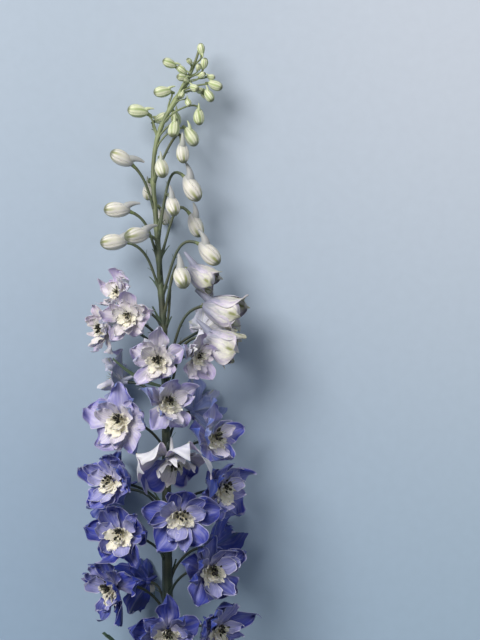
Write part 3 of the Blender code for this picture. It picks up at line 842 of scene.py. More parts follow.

# %% [markdown]
# ## The cream eyes
# In the middle sit the small frilled petals that growers call the bee. The lower ones are cream and spread
# widest, the upper ones are smaller, with painted olive shade at their root. They are laid by the petal
# rule once more.

# %% Eye cream


def eye_cream():
    skin = Finish("eye_cream", 0.5, sheen=0.2, subsurface=0.15)
    tree = skin.tree
    across, along = uv_parts(tree)
    shade, chance = traits_of(tree, "shade", "chance")
    streak = noise(tree, vector_of(tree, across * 6.0, along * 1.6, chance * 30.0), 1.0, 3.0)
    colour = coated(
        along.step(0.0, 0.35).between((0.70, 0.60, 0.34), (0.88, 0.83, 0.69)),
        (along.step(0.7, 1.0), (0.88, 0.85, 0.77)),
        # Painted shade: the upper petals are darkened olive toward their root.
        ((shade * (1.0 - along.step(0.45, 1.0) * 0.7) * 1.1).clamp(), (0.28, 0.26, 0.16)),
        (((streak - 0.60) * 1.4).clamp(), (0.74, 0.65, 0.42)))
    relief = (across * 9.0 * math.pi + streak * 4.0).maths("COSINE")
    return skin.dress(colour, 0.42 + streak * 0.2, relief, 0.3, 0.2 * MM)


EYE_CREAM = eye_cream()
print("eye cream nodes", len(EYE_CREAM.node_tree.nodes))

# %% Eyes
RECEPTACLE_TOP = 3.0
SEAT_GAP = 0.3
EYE_ROOT = 0.6 * MM
EYE_WALL = 0.32 * MM
FULL_WIDTH = 50.0
# Angle, length, width, rise, curl, painted shade
EYE_PETALS = (
    (-90, 12.4, 7.6, 22, 0.10, 0.0),
    (-134, 12.4, 7.4, 25, 0.10, 0.0),
    (-44, 12.2, 7.2, 25, 0.10, 0.0),
    (-178, 11.2, 7.0, 30, 0.10, 0.1),
    (-2, 10.8, 6.8, 30, 0.10, 0.1),
    (140, 7.6, 6.4, 44, 0.05, 0.8),
    (42, 7.6, 6.4, 44, 0.05, 0.8),
    (90, 6.8, 6.0, 50, 0.05, 1.0),
    (-112, 7.4, 5.2, 46, -0.1, 0.0),
    (-66, 7.4, 5.2, 46, -0.1, 0.0),
)
EYE_FOOT = ((0.0, 0.0, 3.3), (0.0, 0.0, 3.9), (0.0, 0.0, 4.6))
EYE_FOOT_RADII = (1.8, 2.0, 1.2)


def eye_scale(row):
    return row.width / FULL_WIDTH * (0.60 + 0.40 * row.openness)


def build_eye(number, row):
    bloom = Bloom(number, row, 2000)
    draw = bloom.fine.uniform
    scale = eye_scale(row)
    grid = petal_grid(16, 11)
    for angle, length, width, rise, curl, shade in EYE_PETALS:
        stretch = draw(0.90, 1.18) * scale * MM
        form = dict(
            angle=math.radians(angle + draw(-12, 12)), root=EYE_ROOT, length=length * stretch,
            width=width * stretch, rise=math.radians(rise + draw(-8, 8)), curl=curl, cup=0.12,
            lean=draw(-0.15, 0.15), wave=0.08, phase=draw(0, 6.28), frill=0.18, frills=draw(2.0, 3.5),
            notch=draw(0.05, 0.3), ragged=draw(0.10, 0.20), point=0.3, sway=draw(-0.12, 0.12))
        bloom.add_petal(grid, (RECEPTACLE_TOP + SEAT_GAP) * MM, EYE_WALL, form, shade=shade,
                        chance=bloom.fine.random())
    # The foot under the eye takes part of the painted shade.
    bloom.add_tube(EYE_FOOT, EYE_FOOT_RADII, 12, shade=0.6, chance=0.5)
    stand_for(bloom.stock.make(f"bee_{number:02d}", EYE_CREAM), "eye", f"eye_{number:02d}")
    return bloom.stock.count


print("eye points", sum(build_eye(number, row) for number, row in enumerate(FLORETS, 1)))

# %% [markdown]
# ## Geometry Nodes trees
# What repeats or follows a path is grown by Geometry Nodes: the stalks, the buds, the stamens and the
# hairs. Each tree has named inputs. A small function sets them by their identifiers, reads the result as a
# plain mesh and takes the modifier away again.

# %% Tree helpers
SOCKETS = {
    int: "NodeSocketInt", float: "NodeSocketFloat", tuple: "NodeSocketVector",
    bpy.types.Material: "NodeSocketMaterial"}


def new_tree(name, **inputs):
    """An empty tree with a geometry in and out and a named input for each value, and its input wires."""
    tree = bpy.data.node_groups.new(name, "GeometryNodeTree")
    tree.interface.new_socket("Geometry", in_out="INPUT", socket_type="NodeSocketGeometry")
    for label, value in inputs.items():
        socket = tree.interface.new_socket(label, in_out="INPUT", socket_type=SOCKETS[type(value)])
        socket.default_value = value
    tree.interface.new_socket("Geometry", in_out="OUTPUT", socket_type="NodeSocketGeometry")
    entry = tree.nodes.new("NodeGroupInput")
    return tree, {socket.name: Wire(tree, socket) for socket in entry.outputs if socket.name}


def end_tree(tree, geometry, material):
    """Ends a tree with smooth shading, Realize Instances and Set Material."""
    smooth = Wire.node(tree, "GeometryNodeSetShadeSmooth", Geometry=geometry)
    real = Wire.node(tree, "GeometryNodeRealizeInstances", Geometry=smooth)
    worn = Wire.node(tree, "GeometryNodeSetMaterial", Geometry=real, Material=material)
    tree.links.new(worn.socket, tree.nodes.new("NodeGroupOutput").inputs["Geometry"])
    return tree


def grow(name, tree, source=None, **inputs):
    """Runs a tree on a source mesh and returns the mesh that it makes."""
    holder = place_piece(name, source or bpy.data.meshes.new(name + "_seed"))
    modifier = holder.modifiers.new("grow", "NODES")
    modifier.node_group = tree
    labels = {item.name: item.identifier for item in tree.interface.items_tree if item.in_out == "INPUT"}
    for label, value in inputs.items():
        modifier[labels[label]] = value
    mesh = bpy.data.meshes.new_from_object(holder.evaluated_get(bpy.context.evaluated_depsgraph_get()))
    holder.modifiers.remove(modifier)
    bpy.data.objects.remove(holder, do_unlink=True)
    mesh.name = name
    return mesh


def store(tree, geometry, name, value):
    return Wire.node(
        tree, "GeometryNodeStoreNamedAttribute", data_type="FLOAT", domain="POINT", Geometry=geometry,
        Name=name, Value=value)


def stored(tree, name):
    return Wire.node(tree, "GeometryNodeInputNamedAttribute", data_type="FLOAT", Name=name)


def moved(tree, geometry, **move):
    return Wire.node(tree, "GeometryNodeSetPosition", Geometry=geometry, **move)


def instances(tree, points, instance, rotation, scale):
    return Wire.node(
        tree, "GeometryNodeInstanceOnPoints", Points=points, Instance=instance, Rotation=rotation,
        Scale=scale)


def chance_in(tree, kind, low, high, **sockets):
    return Wire.node(tree, "FunctionNodeRandomValue", data_type=kind, Min=low, Max=high, **sockets)


def leaning(tree, way):
    return Wire.node(tree, "FunctionNodeAlignRotationToVector", axis="Z", Vector=way)


def joined(tree, *parts):
    both = Wire.node(tree, "GeometryNodeJoinGeometry")
    for part in parts:
        tree.links.new(part.socket, both.socket.node.inputs[0])
    return both


def circle_of(tree, sides):
    return Wire.node(tree, "GeometryNodeCurvePrimitiveCircle", Resolution=sides, Radius=1.0)


def swept(tree, curve, circle):
    """A circle swept along a curve, as thick as the thickness stored on the curve."""
    return Wire.node(
        tree, "GeometryNodeCurveToMesh", Curve=curve, Profile_Curve=circle, Scale=stored(tree, "thickness"),
        Fill_Caps=True)


print("input kinds", len(SOCKETS))

# %% [markdown]
# ## Stem and pedicels
# A delphinium stem is faintly ribbed, olive on its lit side, and swells a little where each pedicel leaves
# it. A curve with a bevel would give a plain round tube. The tree sweeps a circle along edge paths instead,
# with a thickness stored at each point, then raises ribs from the angle round the path.

# %% Stem green


def stem_green():
    skin = Finish("stem_green", 0.5, sheen=0.15, subsurface=0.05)
    tree = skin.tree
    place = object_place(tree)
    young = traits_of(tree, "young")[0]
    streak = noise(tree, place.maths("MULTIPLY", (1.0, 0.12, 1.0)), 900.0, 3.0)
    cloud = noise(tree, place, 45.0, 3.0)
    # Painted shade: the stem is darker toward its cut end.
    painted_shade_near_cut = 1.0 - place.part("Y").step(0.04, 0.22)
    colour = coated(
        painted_shade_near_cut.between((0.080, 0.104, 0.056), (0.024, 0.042, 0.030)),
        (young * 0.8, (0.27, 0.32, 0.15)),
        (((cloud - 0.45) * 1.6).clamp(), (0.12, 0.105, 0.050)))
    colour = colour.maths("MULTIPLY", 0.80 + streak * 0.40)
    return skin.dress(colour, 0.40 + cloud * 0.25, streak, 0.35, 0.2 * MM)


STEM_GREEN = stem_green()
print("stem green nodes", len(STEM_GREEN.node_tree.nodes))

# %% Stalk tree


def stalk_tree():
    tree, wires = new_tree("stalks", Sides=16, Ribs=6, Depth=0.04, Skin=STEM_GREEN)
    curve = Wire.node(tree, "GeometryNodeMeshToCurve", Mesh=wires["Geometry"])
    angle = Wire.node(tree, "GeometryNodeSplineParameter", output="Factor")
    round_tube = swept(tree, curve, store(tree, circle_of(tree, wires["Sides"]), "round", angle))
    wave = (stored(tree, "round") * wires["Ribs"] * 2.0 * math.pi).maths("COSINE")
    normal = Wire.node(tree, "GeometryNodeInputNormal", output="Normal")
    raised = normal.maths("MULTIPLY", wave * wires["Depth"] * stored(tree, "thickness"))
    return end_tree(tree, moved(tree, round_tube, Offset=raised), wires["Skin"])


STALKS = stalk_tree()
print("stalk tree nodes", len(STALKS.nodes))

# %% Paths for the stem and the pedicels
YOUNG_FROM = 395.0
YOUNG_SPAN = 165.0
STEM_YOUTH = 0.6
NODE_SPREAD = 3.0
NODE_SWELLING = 0.35
NODE_YOUTH = 0.35
KNOB_LENGTH = 4.6
FLORET_DROP = 26.0
BUD_DROP = 31.0 / 18.0
TIP_BUD_DROP = 1.0
HIGHEST_ROOT = STEM_LENGTH - 4.0
LAST_STRAIGHT = 1.6
PEDICEL_STEPS = 14
STEM_STEPS = 230
SMOOTHED_OVER = 9
PEDICEL_RADIUS = 1.1
TIP_PEDICEL_RADIUS = 0.75
TINY_PEDICEL_RADIUS = 0.5
RECEPTACLE_DEPTH = 5.0
TIP_BUD_SEAT = 1.5

Pedicel = namedtuple("Pedicel", "root_height around joint arrival radius young")


def pedicel_line(pedicel):
    """A pedicel leaves the stem steeply, arches out, and meets its bloom squarely."""
    away = outward(pedicel.around)
    root = stem_at(pedicel.root_height) + away * stem_radius(pedicel.root_height) * 0.4
    end = pedicel.joint - pedicel.arrival * LAST_STRAIGHT * MM
    span = np.linalg.norm(end - root)
    first = root + unit(TIP_WAY * 0.93 + away * 0.37) * span * 0.42
    second = end - pedicel.arrival * span * 0.34
    t = np.linspace(0.0, 1.0, PEDICEL_STEPS)[:, None]
    curve = root * (1 - t) ** 3 + first * 3 * (1 - t) ** 2 * t + second * 3 * (1 - t) * t ** 2 + end * t ** 3
    return np.concatenate((curve, pedicel.joint[None]))


def side_of(row):
    """A bud's angle round the stem."""
    return math.degrees(math.atan2(row.side, row.front))


def find_pedicels():
    pedicels = []
    for row in FLORETS:
        axes, place = floret_place(row)
        joint = place - axes[2] * RECEPTACLE_DEPTH * MM
        pedicels.append(Pedicel(row.height - FLORET_DROP, row.around, joint, axes[2], PEDICEL_RADIUS, 0.0))
    for table, radius, drop, young in (
            (BUDS, PEDICEL_RADIUS, BUD_DROP, 0.12), (TIP_BUDS, TIP_PEDICEL_RADIUS, TIP_BUD_DROP, 0.8),
            (TINY_BUDS, TINY_PEDICEL_RADIUS, TIP_BUD_DROP, 0.9)):
        for row in table:
            axes, joint, arrival = bud_place(row)
            end = joint - arrival * KNOB_LENGTH * MM if table is BUDS else joint + axes[2] * TIP_BUD_SEAT * MM
            root_height = min(row.height - drop * row.length, HIGHEST_ROOT)
            pedicels.append(Pedicel(root_height, side_of(row), end, arrival, radius, young))
    return pedicels


def path_mesh(name, paths):
    """A mesh of edge paths. Each path is its points, their thicknesses and their youth."""
    edges = []
    start = 0
    for line, thickness, young in paths:
        edges.extend((index, index + 1) for index in range(start, start + len(line) - 1))
        start += len(line)
    mesh = bpy.data.meshes.new(name)
    mesh.from_pydata(np.concatenate([line for line, _, _ in paths]).tolist(), edges, [])
    set_trait(mesh, "thickness", np.concatenate([thickness for _, thickness, _ in paths]))
    set_trait(mesh, "young", np.concatenate([np.broadcast_to(young, len(line)) for line, _, young in paths]))
    return mesh


def stem_path():
    """The stem's line, with a little swelling where each pedicel leaves it."""
    heights = np.linspace(0.0, STEM_LENGTH, STEM_STEPS)
    line = np.array([stem_at(height) for height in heights])
    padded = np.pad(line, ((SMOOTHED_OVER // 2, SMOOTHED_OVER // 2), (0, 0)), mode="edge")
    window = np.ones(SMOOTHED_OVER) / SMOOTHED_OVER
    for axis in (0, 2):
        line[:, axis] = np.convolve(padded[:, axis], window, mode="valid")
    radii = np.array([stem_radius(height) for height in heights])
    youth = np.clip((heights - YOUNG_FROM) / YOUNG_SPAN, 0.0, STEM_YOUTH)
    for pedicel in PEDICELS:
        root = pedicel.root_height
        node = np.exp(-((heights - root) / NODE_SPREAD) ** 2) * (root / STEM_LENGTH)
        radii += NODE_SWELLING * MM * node
        youth += NODE_YOUTH * node
    return line, radii, youth


def pedicel_path(pedicel):
    along = np.linspace(0.0, 1.0, PEDICEL_STEPS + 1)
    thickness = pedicel.radius * MM * (1.0 + 0.7 * np.exp(-(along / 0.10) ** 2) + 0.25 * along ** 6)
    return pedicel_line(pedicel), thickness, pedicel.young


PEDICELS = find_pedicels()
# Name, paths, sides, ribs, depth of the ribs, hairs on a square metre
STALK_PIECES = (
    ("stem_stalk", [stem_path()], 36, 9, 0.035, 90000.0),
    ("pedicels", [pedicel_path(pedicel) for pedicel in PEDICELS], 12, 3, 0.05, 120000.0),
)
stalks = []
for name, paths, sides, ribs, depth, density in STALK_PIECES:
    source = path_mesh(name + "_paths", paths)
    mesh = grow(name, STALKS, source, Sides=sides, Ribs=ribs, Depth=depth, Skin=STEM_GREEN)
    stalks.append((place_piece(name, mesh), density))
    stand_for(stalks[-1][0], "stem", "stem")
    print(name, "faces", len(mesh.polygons))

# %% [markdown]
# ## Hairs
# The stem and pedicels are lightly downy. Particle hair would do it, but it isn't a mesh that others can
# use. The tree scatters points over the finished skin instead and stands a tiny three-sided cone on each,
# leaning a little.

# %% Hairs
HAIR_LENGTH = 1.1 * MM
HAIR_RADIUS = 0.06 * MM
HAIR_SEED = 3


def hair_tree():
    tree, wires = new_tree(
        "hairs", Density=60000.0, Length=HAIR_LENGTH, Radius=HAIR_RADIUS, Seed=HAIR_SEED, Skin=STEM_GREEN)
    seed, radius = wires["Seed"], wires["Radius"]
    spots = Wire.node(
        tree, "GeometryNodeDistributePointsOnFaces", distribute_method="RANDOM", Mesh=wires["Geometry"],
        Density=wires["Density"], Seed=seed)
    normal = Wire(tree, spots.socket.node.outputs["Normal"])
    lean = chance_in(tree, "FLOAT_VECTOR", (-0.5, -0.5, -0.5), (0.5, 0.5, 0.5), Seed=seed + 1)
    cone = Wire.node(
        tree, "GeometryNodeMeshCone", fill_type="TRIANGLE_FAN", Vertices=3, Radius_Top=0.0, Radius_Bottom=1.0,
        Depth=1.0)
    long = wires["Length"] * chance_in(tree, "FLOAT", 0.5, 1.2, Seed=seed + 2)
    hairs = instances(
        tree, spots, store(tree, cone, "young", 1.0), leaning(tree, normal + lean),
        vector_of(tree, radius, radius, long))
    return end_tree(tree, hairs, wires["Skin"])


HAIRS = hair_tree()
for source, density in stalks:
    name = source.name + "_hairs"
    mesh = grow(name, HAIRS, source.data.copy(), Density=density, Length=HAIR_LENGTH, Radius=HAIR_RADIUS,
                Seed=HAIR_SEED, Skin=STEM_GREEN)
    stand_for(place_piece(name, mesh), "stem")
    print(name, "faces", len(mesh.polygons))

# %% [markdown]
# ## Leaves and bracts
# A leaf low on the stem is cut like a hand into toothed lobes. A thin bract stands under many pedicels, and
# most pedicels carry a tiny one or two. Drawing each outline by hand would give flat cut-outs. One blade
# rule makes the leaves, the one long bract and the tiny ones: a grid with an edge that may be toothed, a
# creased middle and a tip that bends.

# %% Leaf green


def leaf_green():
    skin = Finish("leaf_green", 0.45, sheen=0.1, subsurface=0.05)
    tree = skin.tree
    across, along = uv_parts(tree)
    edge = across.maths("ABSOLUTE")
    young, back = traits_of(tree, "young", "back")
    cloud = noise(tree, object_place(tree), 90.0, 3.0)
    ribs = ((along * 9.0 - edge * 2.4) * 2.0 * math.pi).maths("COSINE").step(0.86, 1.0)
    vein = (1.0 - edge.step(0.02, 0.10)).maths("MAXIMUM", ribs * 0.6 * (1.0 - young))
    colour = coated(
        cloud.between((0.022, 0.058, 0.038), (0.052, 0.108, 0.058)),
        (young * 0.7, (0.060, 0.105, 0.046)),
        (vein * 0.5, (0.15, 0.22, 0.12)),
        (back * 0.45, (0.17, 0.22, 0.14)))
    return skin.dress(colour, 0.36 + cloud * 0.3, cloud * 0.6 - vein, 0.5, 0.3 * MM)


LEAF_GREEN = leaf_green()
print("leaf green nodes", len(LEAF_GREEN.node_tree.nodes))

# %% Blades
LEAF_WALL = 0.45 * MM
BRACT_WALL = 0.30 * MM
LEAF_LOWEST = 1.2 * MM


def turn_about(vector, axis, degrees):
    return np.array(Matrix.Rotation(math.radians(degrees), 3, axis.tolist())) @ vector


def blade(stock, grid, root, axis, side, length, width, droop, teeth=0.0, body=(0.16, 0.9), bend=0.0,
          young=0.0, wall=BRACT_WALL):
    """A blade from its root along an axis, creased along its middle, with the teeth and droop given."""
    across, along = grid
    normal = unit(np.cross(axis, side))
    narrow, power = body
    half = narrow + (1.0 - narrow) * np.sin(math.pi * np.minimum(along * 0.93 + 0.05, 1.0)) ** power
    half = half * (1.0 + teeth * ((along * 4.3) % 1.0 - 0.55)) * width * MM / 2.0
    fall = (droop * length * along ** 2 - 0.16 * width * np.abs(across) * (1.0 - 0.5 * along)) * MM
    fall = fall + 0.05 * width * MM * across * np.sin(7.0 * along)
    points = root + axis * (length * along * MM)[..., None] + side * (across * half)[..., None]
    points = points - normal * fall[..., None] + side * (bend * length * along ** 2 * MM)[..., None]
    points[..., 2] = np.maximum(points[..., 2], LEAF_LOWEST)
    stock.add_sheet(points, wall, across, along, young=young)


print("leaf wall", LEAF_WALL / MM, "mm, bract wall", BRACT_WALL / MM, "mm")

# %% Leaves and bracts
# Spread in degrees, share of the leaf's length and of its width
LOBES = ((-62, 0.48, 0.8), (-34, 0.62, 1.0), (0, 0.75, 1.1), (34, 0.62, 1.0), (62, 0.48, 0.8))
LOBE_WIDTH = 0.75
LOBE_TEETH = 0.55
STALK_SHARE = 0.42
STALK_STEPS = 9
BRACT_TWIST = 55.0
BRACT_YOUTH = 0.35
BRACT_DROP = 2
# Length and width of the short ones and of the long ones
FLORET_BRACTS = ((16, 2.2), (25, 3.0))
BUD_BRACTS = ((11, 1.7), (16, 2.4))
BRACTEOLE_CHANCE = 0.75
BRACTEOLE_WIDTH = 1.1
BRACTEOLE_LEAN = 28.0
LONG_BRACT = {"length": 46, "width": 3.2, "droop": -0.04, "body": (0.35, 0.7), "bend": 0.33}
LONG_BRACT_HEIGHT = 297
LONG_BRACT_WAY = outward(-68)


def add_leaf(stock, height, around, length, width, droop):
    """A stalk and five toothed lobes. The solid has the three longest."""
    out = outward(around)
    side = unit(np.cross(TIP_WAY, out))
    axis = unit(TIP_WAY * 0.8 + out * 0.6)
    root = stem_at(height)
    end = root + axis * STALK_SHARE * length * MM
    steps = np.linspace(0.0, 1.0, STALK_STEPS)[:, None]
    stock.add_tube(root + (end - root) * steps, np.linspace(1.3, 0.9, STALK_STEPS) * MM, 10, young=0.4)
    for spread, share, wide in LOBES:
        lobe_axis, lobe_side = (turn_about(way, np.cross(side, axis), spread) for way in (axis, side))
        blade(stock, petal_grid(52, 17), end, lobe_axis, lobe_side, length * share,
              width * LOBE_WIDTH * wide, droop, teeth=LOBE_TEETH, wall=LEAF_WALL)


def add_bract(stock, root_height, around, length, width, sweep):
    """A thin curved bract on the stem, bending away from it and twisted a little."""
    out = outward(around)
    side = turn_about(unit(np.cross(TIP_WAY, out)), TIP_WAY, math.copysign(BRACT_TWIST, sweep))
    across, along = petal_grid(14, 5)
    root = stem_at(root_height) + out * stem_radius(root_height) * 0.5
    half = width * MM / 2.0 * (0.5 + 0.5 * np.sin(math.pi * np.minimum(along + 0.2, 1.0)))
    points = root + TIP_WAY * (length * along * 0.8 * MM)[..., None] + side * (across * half)[..., None]
    points = points + out * (length * 0.55 * along ** 1.6 * MM)[..., None]
    points = points + side * (sweep * length * along ** 2 * MM)[..., None]
    points[..., 2] = np.maximum(points[..., 2], LEAF_LOWEST)
    stock.add_sheet(points, BRACT_WALL, across, along, young=BRACT_YOUTH)


def add_bracteole(stock, line, share, length, way):
    """A tiny leaf partly up a pedicel."""
    index = int(share * (len(line) - 2))
    axis = unit(line[index + 1] - line[index])
    side = unit(np.cross(axis, np.array((0.2, 0.1, 1.0))))
    axis = turn_about(axis, np.cross(axis, side), way * BRACTEOLE_LEAN)
    side = turn_about(side, axis, 90.0 * way)
    blade(stock, petal_grid(10, 5), line[index], axis, side, length, BRACTEOLE_WIDTH, 0.1, body=(0.4, 0.8),
          young=0.8)


def add_long_bract(stock):
    """The one long bract that sweeps out to the left above the middle of the florets."""
    axis = unit(LONG_BRACT_WAY * 0.98 + TIP_WAY * 0.18)
    side = unit(TIP_WAY - axis * (TIP_WAY @ axis))
    root = stem_at(LONG_BRACT_HEIGHT) + LONG_BRACT_WAY * stem_radius(LONG_BRACT_HEIGHT) * 0.5
    blade(stock, petal_grid(26, 7), root, axis, side, **LONG_BRACT)


leaves = Stock()
draw = random.Random(17).uniform
for row in LEAVES:
    add_leaf(leaves, *row)
for number, row in enumerate(FLORETS, 1):
    add_bract(leaves, row.height - FLORET_DROP - BRACT_DROP, row.around + draw(-8, 8),
              *FLORET_BRACTS[number % 3 == 1], draw(-0.3, 0.3))
for number, row in enumerate(BUDS, 1):
    add_bract(leaves, row.height - BUD_DROP * row.length - BRACT_DROP, side_of(row),
              *BUD_BRACTS[number % 3 == 0], draw(-0.4, 0.4))
for pedicel in PEDICELS:
    for way in (-1, 1):
        if draw(0.0, 1.0) < BRACTEOLE_CHANCE:
            share, length = draw(0.35, 0.75), draw(3.5, 7.5) * (1.0 - 0.5 * pedicel.young)
            add_bracteole(leaves, pedicel_line(pedicel), share, length, way)
add_long_bract(leaves)
stand_for(leaves.make("leaves_and_bracts", LEAF_GREEN), "stem", "stem")
print("leaf and bract points", leaves.count)

# %% [markdown]
# ## Buds
# A bud is five sepals wrapped round each other, so its skin rises slowly across each sepal and drops at its
# edge. That is a rule, so a tree shapes a sphere by it: the girth swells toward the blunt nose, the wrap
# turns with the angle, and a spur bends back from the joint. The youngest buds at the tip are the same
# tree, greener.

# %% Bud skin


def bud_skin():
    skin = Finish("bud_skin", 0.5, sheen=0.25, subsurface=0.15)
    tree = skin.tree
    fold, along, youth, opening, knob = traits_of(tree, "fold", "along", "young", "opening", "knob")
    cloud = noise(tree, object_place(tree), 130.0, 3.0)
    streak = noise(tree, vector_of(tree, fold * 7.0, along * 2.0, cloud), 2.0, 3.0)
    side = (fold - 0.5).maths("ABSOLUTE")
    # Lilac vein lines that also stand in for painted shade in the folds.
    vein_and_fold_shade = (fold * 46.0 + streak * 5.0).maths("COSINE")
    # Painted shade: slate toward the joint of the opening buds.
    painted_slate_shade = (1.0 - (along + (streak - 0.5) * 1.3 - side * 0.25).step(0.10, 0.62)) * 0.85
    lilac = coated(
        (side * 1.8 + (streak - 0.5) * 2.6).clamp().between((0.84, 0.82, 0.76), (0.50, 0.43, 0.62)),
        (painted_slate_shade, (0.20, 0.22, 0.35)),
        (vein_and_fold_shade.step(0.25, 1.0) * along.step(0.05, 0.3) * 0.40, (0.44, 0.38, 0.55)))
    rib = 1.0 - (fold - 0.52).maths("ABSOLUTE").step(0.04, 0.30)
    green = rib * (0.22 + along.step(0.50, 0.92) * 0.85) * (0.35 + cloud * 1.2) * (1.0 - opening * 0.45)
    mark = (1.0 - side.step(0.01, 0.05)) * along.step(0.66, 0.76) * (1.0 - along.step(0.84, 0.92)) * opening
    fresh = (rib * 0.7 + cloud * 0.8 - 0.2).clamp().between((0.85, 0.87, 0.63), (0.34, 0.43, 0.16))
    # Painted shade in the grooves where one sepal overlaps the next.
    painted_seam_shade = fold.step(0.86, 0.99).maths("MAXIMUM", 1.0 - fold.step(0.01, 0.14))
    nose = (along + (cloud - 0.5) * 0.08).step(0.84, 0.97) * (1.0 - opening * 0.6)
    colour = coated(
        # Painted shade: grey toward the joint, cream toward the nose.
        along.step(0.0, 0.5).between((0.40, 0.41, 0.43), (0.80, 0.77, 0.70)),
        (opening * 0.95, lilac),
        (((streak - 0.52) * 2.4 * (1.0 - opening * 0.4)).clamp(), (0.58, 0.53, 0.56)),
        (green.clamp(), (0.34, 0.36, 0.14)),
        (mark * 0.9, (0.22, 0.24, 0.07)),
        (youth.step(0.35, 0.95), fresh),
        (painted_seam_shade * 0.6, (0.20, 0.21, 0.16)),
        (nose * 0.85, (0.10, 0.12, 0.055)),
        (knob, cloud.between((0.085, 0.120, 0.045), (0.190, 0.230, 0.095))))
    return skin.dress(colour, 0.40 + cloud * 0.2, streak - vein_and_fold_shade * opening * 0.22, 0.45, 0.35 * MM)


BUD_SKIN = bud_skin()
print("bud skin nodes", len(BUD_SKIN.node_tree.nodes))

# %% Bud tree
FULL_BUD = 18.0 * MM
BUD_PLUMPNESS = 0.31
TIP_BUD_PLUMPNESS = 0.33
STUB_INSIDE = 2.0


def bud_body(tree, wires):
    """A sphere shaped into wrapped sepals, with the fold of each and the way along stored on it."""
    length = wires["Length"]
    ball = Wire.node(
        tree, "GeometryNodeMeshUVSphere", Segments=wires["Segments"], Rings=wires["Rings"], Radius=1.0)
    spot = Wire.node(tree, "GeometryNodeInputPosition")
    x, y, z = (spot.part(name) for name in "XYZ")
    along = (z + 1.0) / 2.0
    wrap = (y.maths("ARCTAN2", x) * (SEPALS / (2.0 * math.pi)) + along * wires["Twist"]).maths("FRACT")
    lift = 1.0 + wires["Fold"] * (wrap ** 0.8 - 0.5 - wrap.step(0.86, 1.0) * 1.0)
    girth = (1.0 - z * z).maths("MAXIMUM", 0.0).maths("SQRT") * (0.76 + 0.32 * along)
    radius = girth * lift * wires["Plumpness"] * length
    flat = (x * x + y * y).maths("SQRT").maths("MAXIMUM", 0.0001)
    tall = length * (along * 0.98 - 0.06 + 0.02 * along ** 12.0)
    ball = store(tree, store(tree, ball, "fold", wrap), "along", along)
    return moved(tree, ball, Position=vector_of(tree, x / flat * radius, y / flat * radius, tall))


def bud_tails(tree, wires):
    """The bent spur, and the stub that the pedicel meets, swept by one circle."""
    length = wires["Length"]
    reach = length * wires["Spur"]
    spur = Wire.node(
        tree, "GeometryNodeCurveQuadraticBezier", Resolution=12,
        Start=vector_of(tree, 0.0, length * 0.10, length * 0.16),
        Middle=vector_of(tree, 0.0, length * 0.16 + reach * 0.14, reach * -0.02),
        End=vector_of(tree, 0.0, length * 0.16 + reach * 0.12, reach * -0.40))
    factor = Wire.node(tree, "GeometryNodeSplineParameter", output="Factor")
    spur = store(tree, spur, "thickness", reach * (0.165 - 0.13 * factor))
    small = (length / FULL_BUD).maths("MINIMUM", 1.0)
    stub = Wire.node(
        tree, "GeometryNodeCurvePrimitiveLine", Start=vector_of(tree, 0.0, 0.0, small * STUB_INSIDE * MM),
        End=wires["Arrival"].maths("MULTIPLY", small * -KNOB_LENGTH * MM))
    stub = Wire.node(tree, "GeometryNodeResampleCurve", Curve=stub, Count=5)
    stub = store(tree, stub, "thickness", (2.0 - 0.7 * factor) * small * MM)
    stub = store(tree, stub, "knob", 1.0)
    tails = swept(tree, joined(tree, spur, stub), circle_of(tree, 12))
    return store(tree, store(tree, tails, "fold", 0.35), "along", 0.05)


def bud_tree():
    tree, wires = new_tree(
        "bud", Length=0.02, Plumpness=BUD_PLUMPNESS, Twist=0.35, Fold=0.07, Spur=1.0, Youth=0.0,
        Segments=60, Rings=36, Arrival=(0.0, 0.0, 1.0), Skin=BUD_SKIN)
    whole = joined(tree, bud_body(tree, wires), bud_tails(tree, wires))
    return end_tree(tree, store(tree, whole, "young", wires["Youth"]), wires["Skin"])


BUD = bud_tree()
print("bud tree nodes", len(BUD.nodes))

# %% Buds in place
OPENING_FROM = 28.0
BUD_YOUTH_FROM = 455.0
BUD_YOUTH_SPAN = 80.0
TIP_YOUTH = 0.22
TIP_YOUTH_FROM = 440.0
TIP_YOUTH_SPAN = 115.0


def grow_bud(name, row, **form):
    """One bud as a mesh in its place, with its nose forward and its spur toward the pedicel's far side."""
    axes, joint, arrival = bud_place(row)
    mesh = grow(name, BUD, Length=row.length * MM, Arrival=(axes @ arrival).tolist(), Skin=BUD_SKIN, **form)
    mesh.transform(placement(axes, joint))
    return mesh


def join_meshes(name, meshes):
    """One piece of several meshes, through objects joined into the first."""
    things = [place_piece(name, mesh) for mesh in meshes]
    with bpy.context.temp_override(active_object=things[0], selected_editable_objects=things):
        bpy.ops.object.join()
    things[0].name = name
    return things[0]


draw = random.Random(31).uniform
for number, row in enumerate(BUDS, 1):
    if row.length < OPENING_FROM:
        youth = max(0.0, (row.height - BUD_YOUTH_FROM) / BUD_YOUTH_SPAN)
        mesh = grow_bud(
            f"white_bud_{number:02d}", row, Plumpness=BUD_PLUMPNESS, Fold=draw(0.10, 0.16), Spur=1.0,
            Youth=youth, Twist=draw(0.25, 0.6), Segments=60, Rings=36)
        stand_for(place_piece(mesh.name, mesh), "bud", f"bud_{number:02d}")
green_buds = join_meshes("tip_buds", [
    grow_bud(f"tip_bud_{number:02d}", row, Plumpness=TIP_BUD_PLUMPNESS, Fold=0.12, Spur=0.7,
             Youth=min(1.0, TIP_YOUTH + (row.height - TIP_YOUTH_FROM) / TIP_YOUTH_SPAN), Twist=draw(0.2, 0.5),
             Segments=40, Rings=24)
    for number, row in enumerate(TIP_BUDS + TINY_BUDS, 1)])
stand_for(green_buds, "bud", "stem")
print("tip bud faces", len(green_buds.data.polygons))

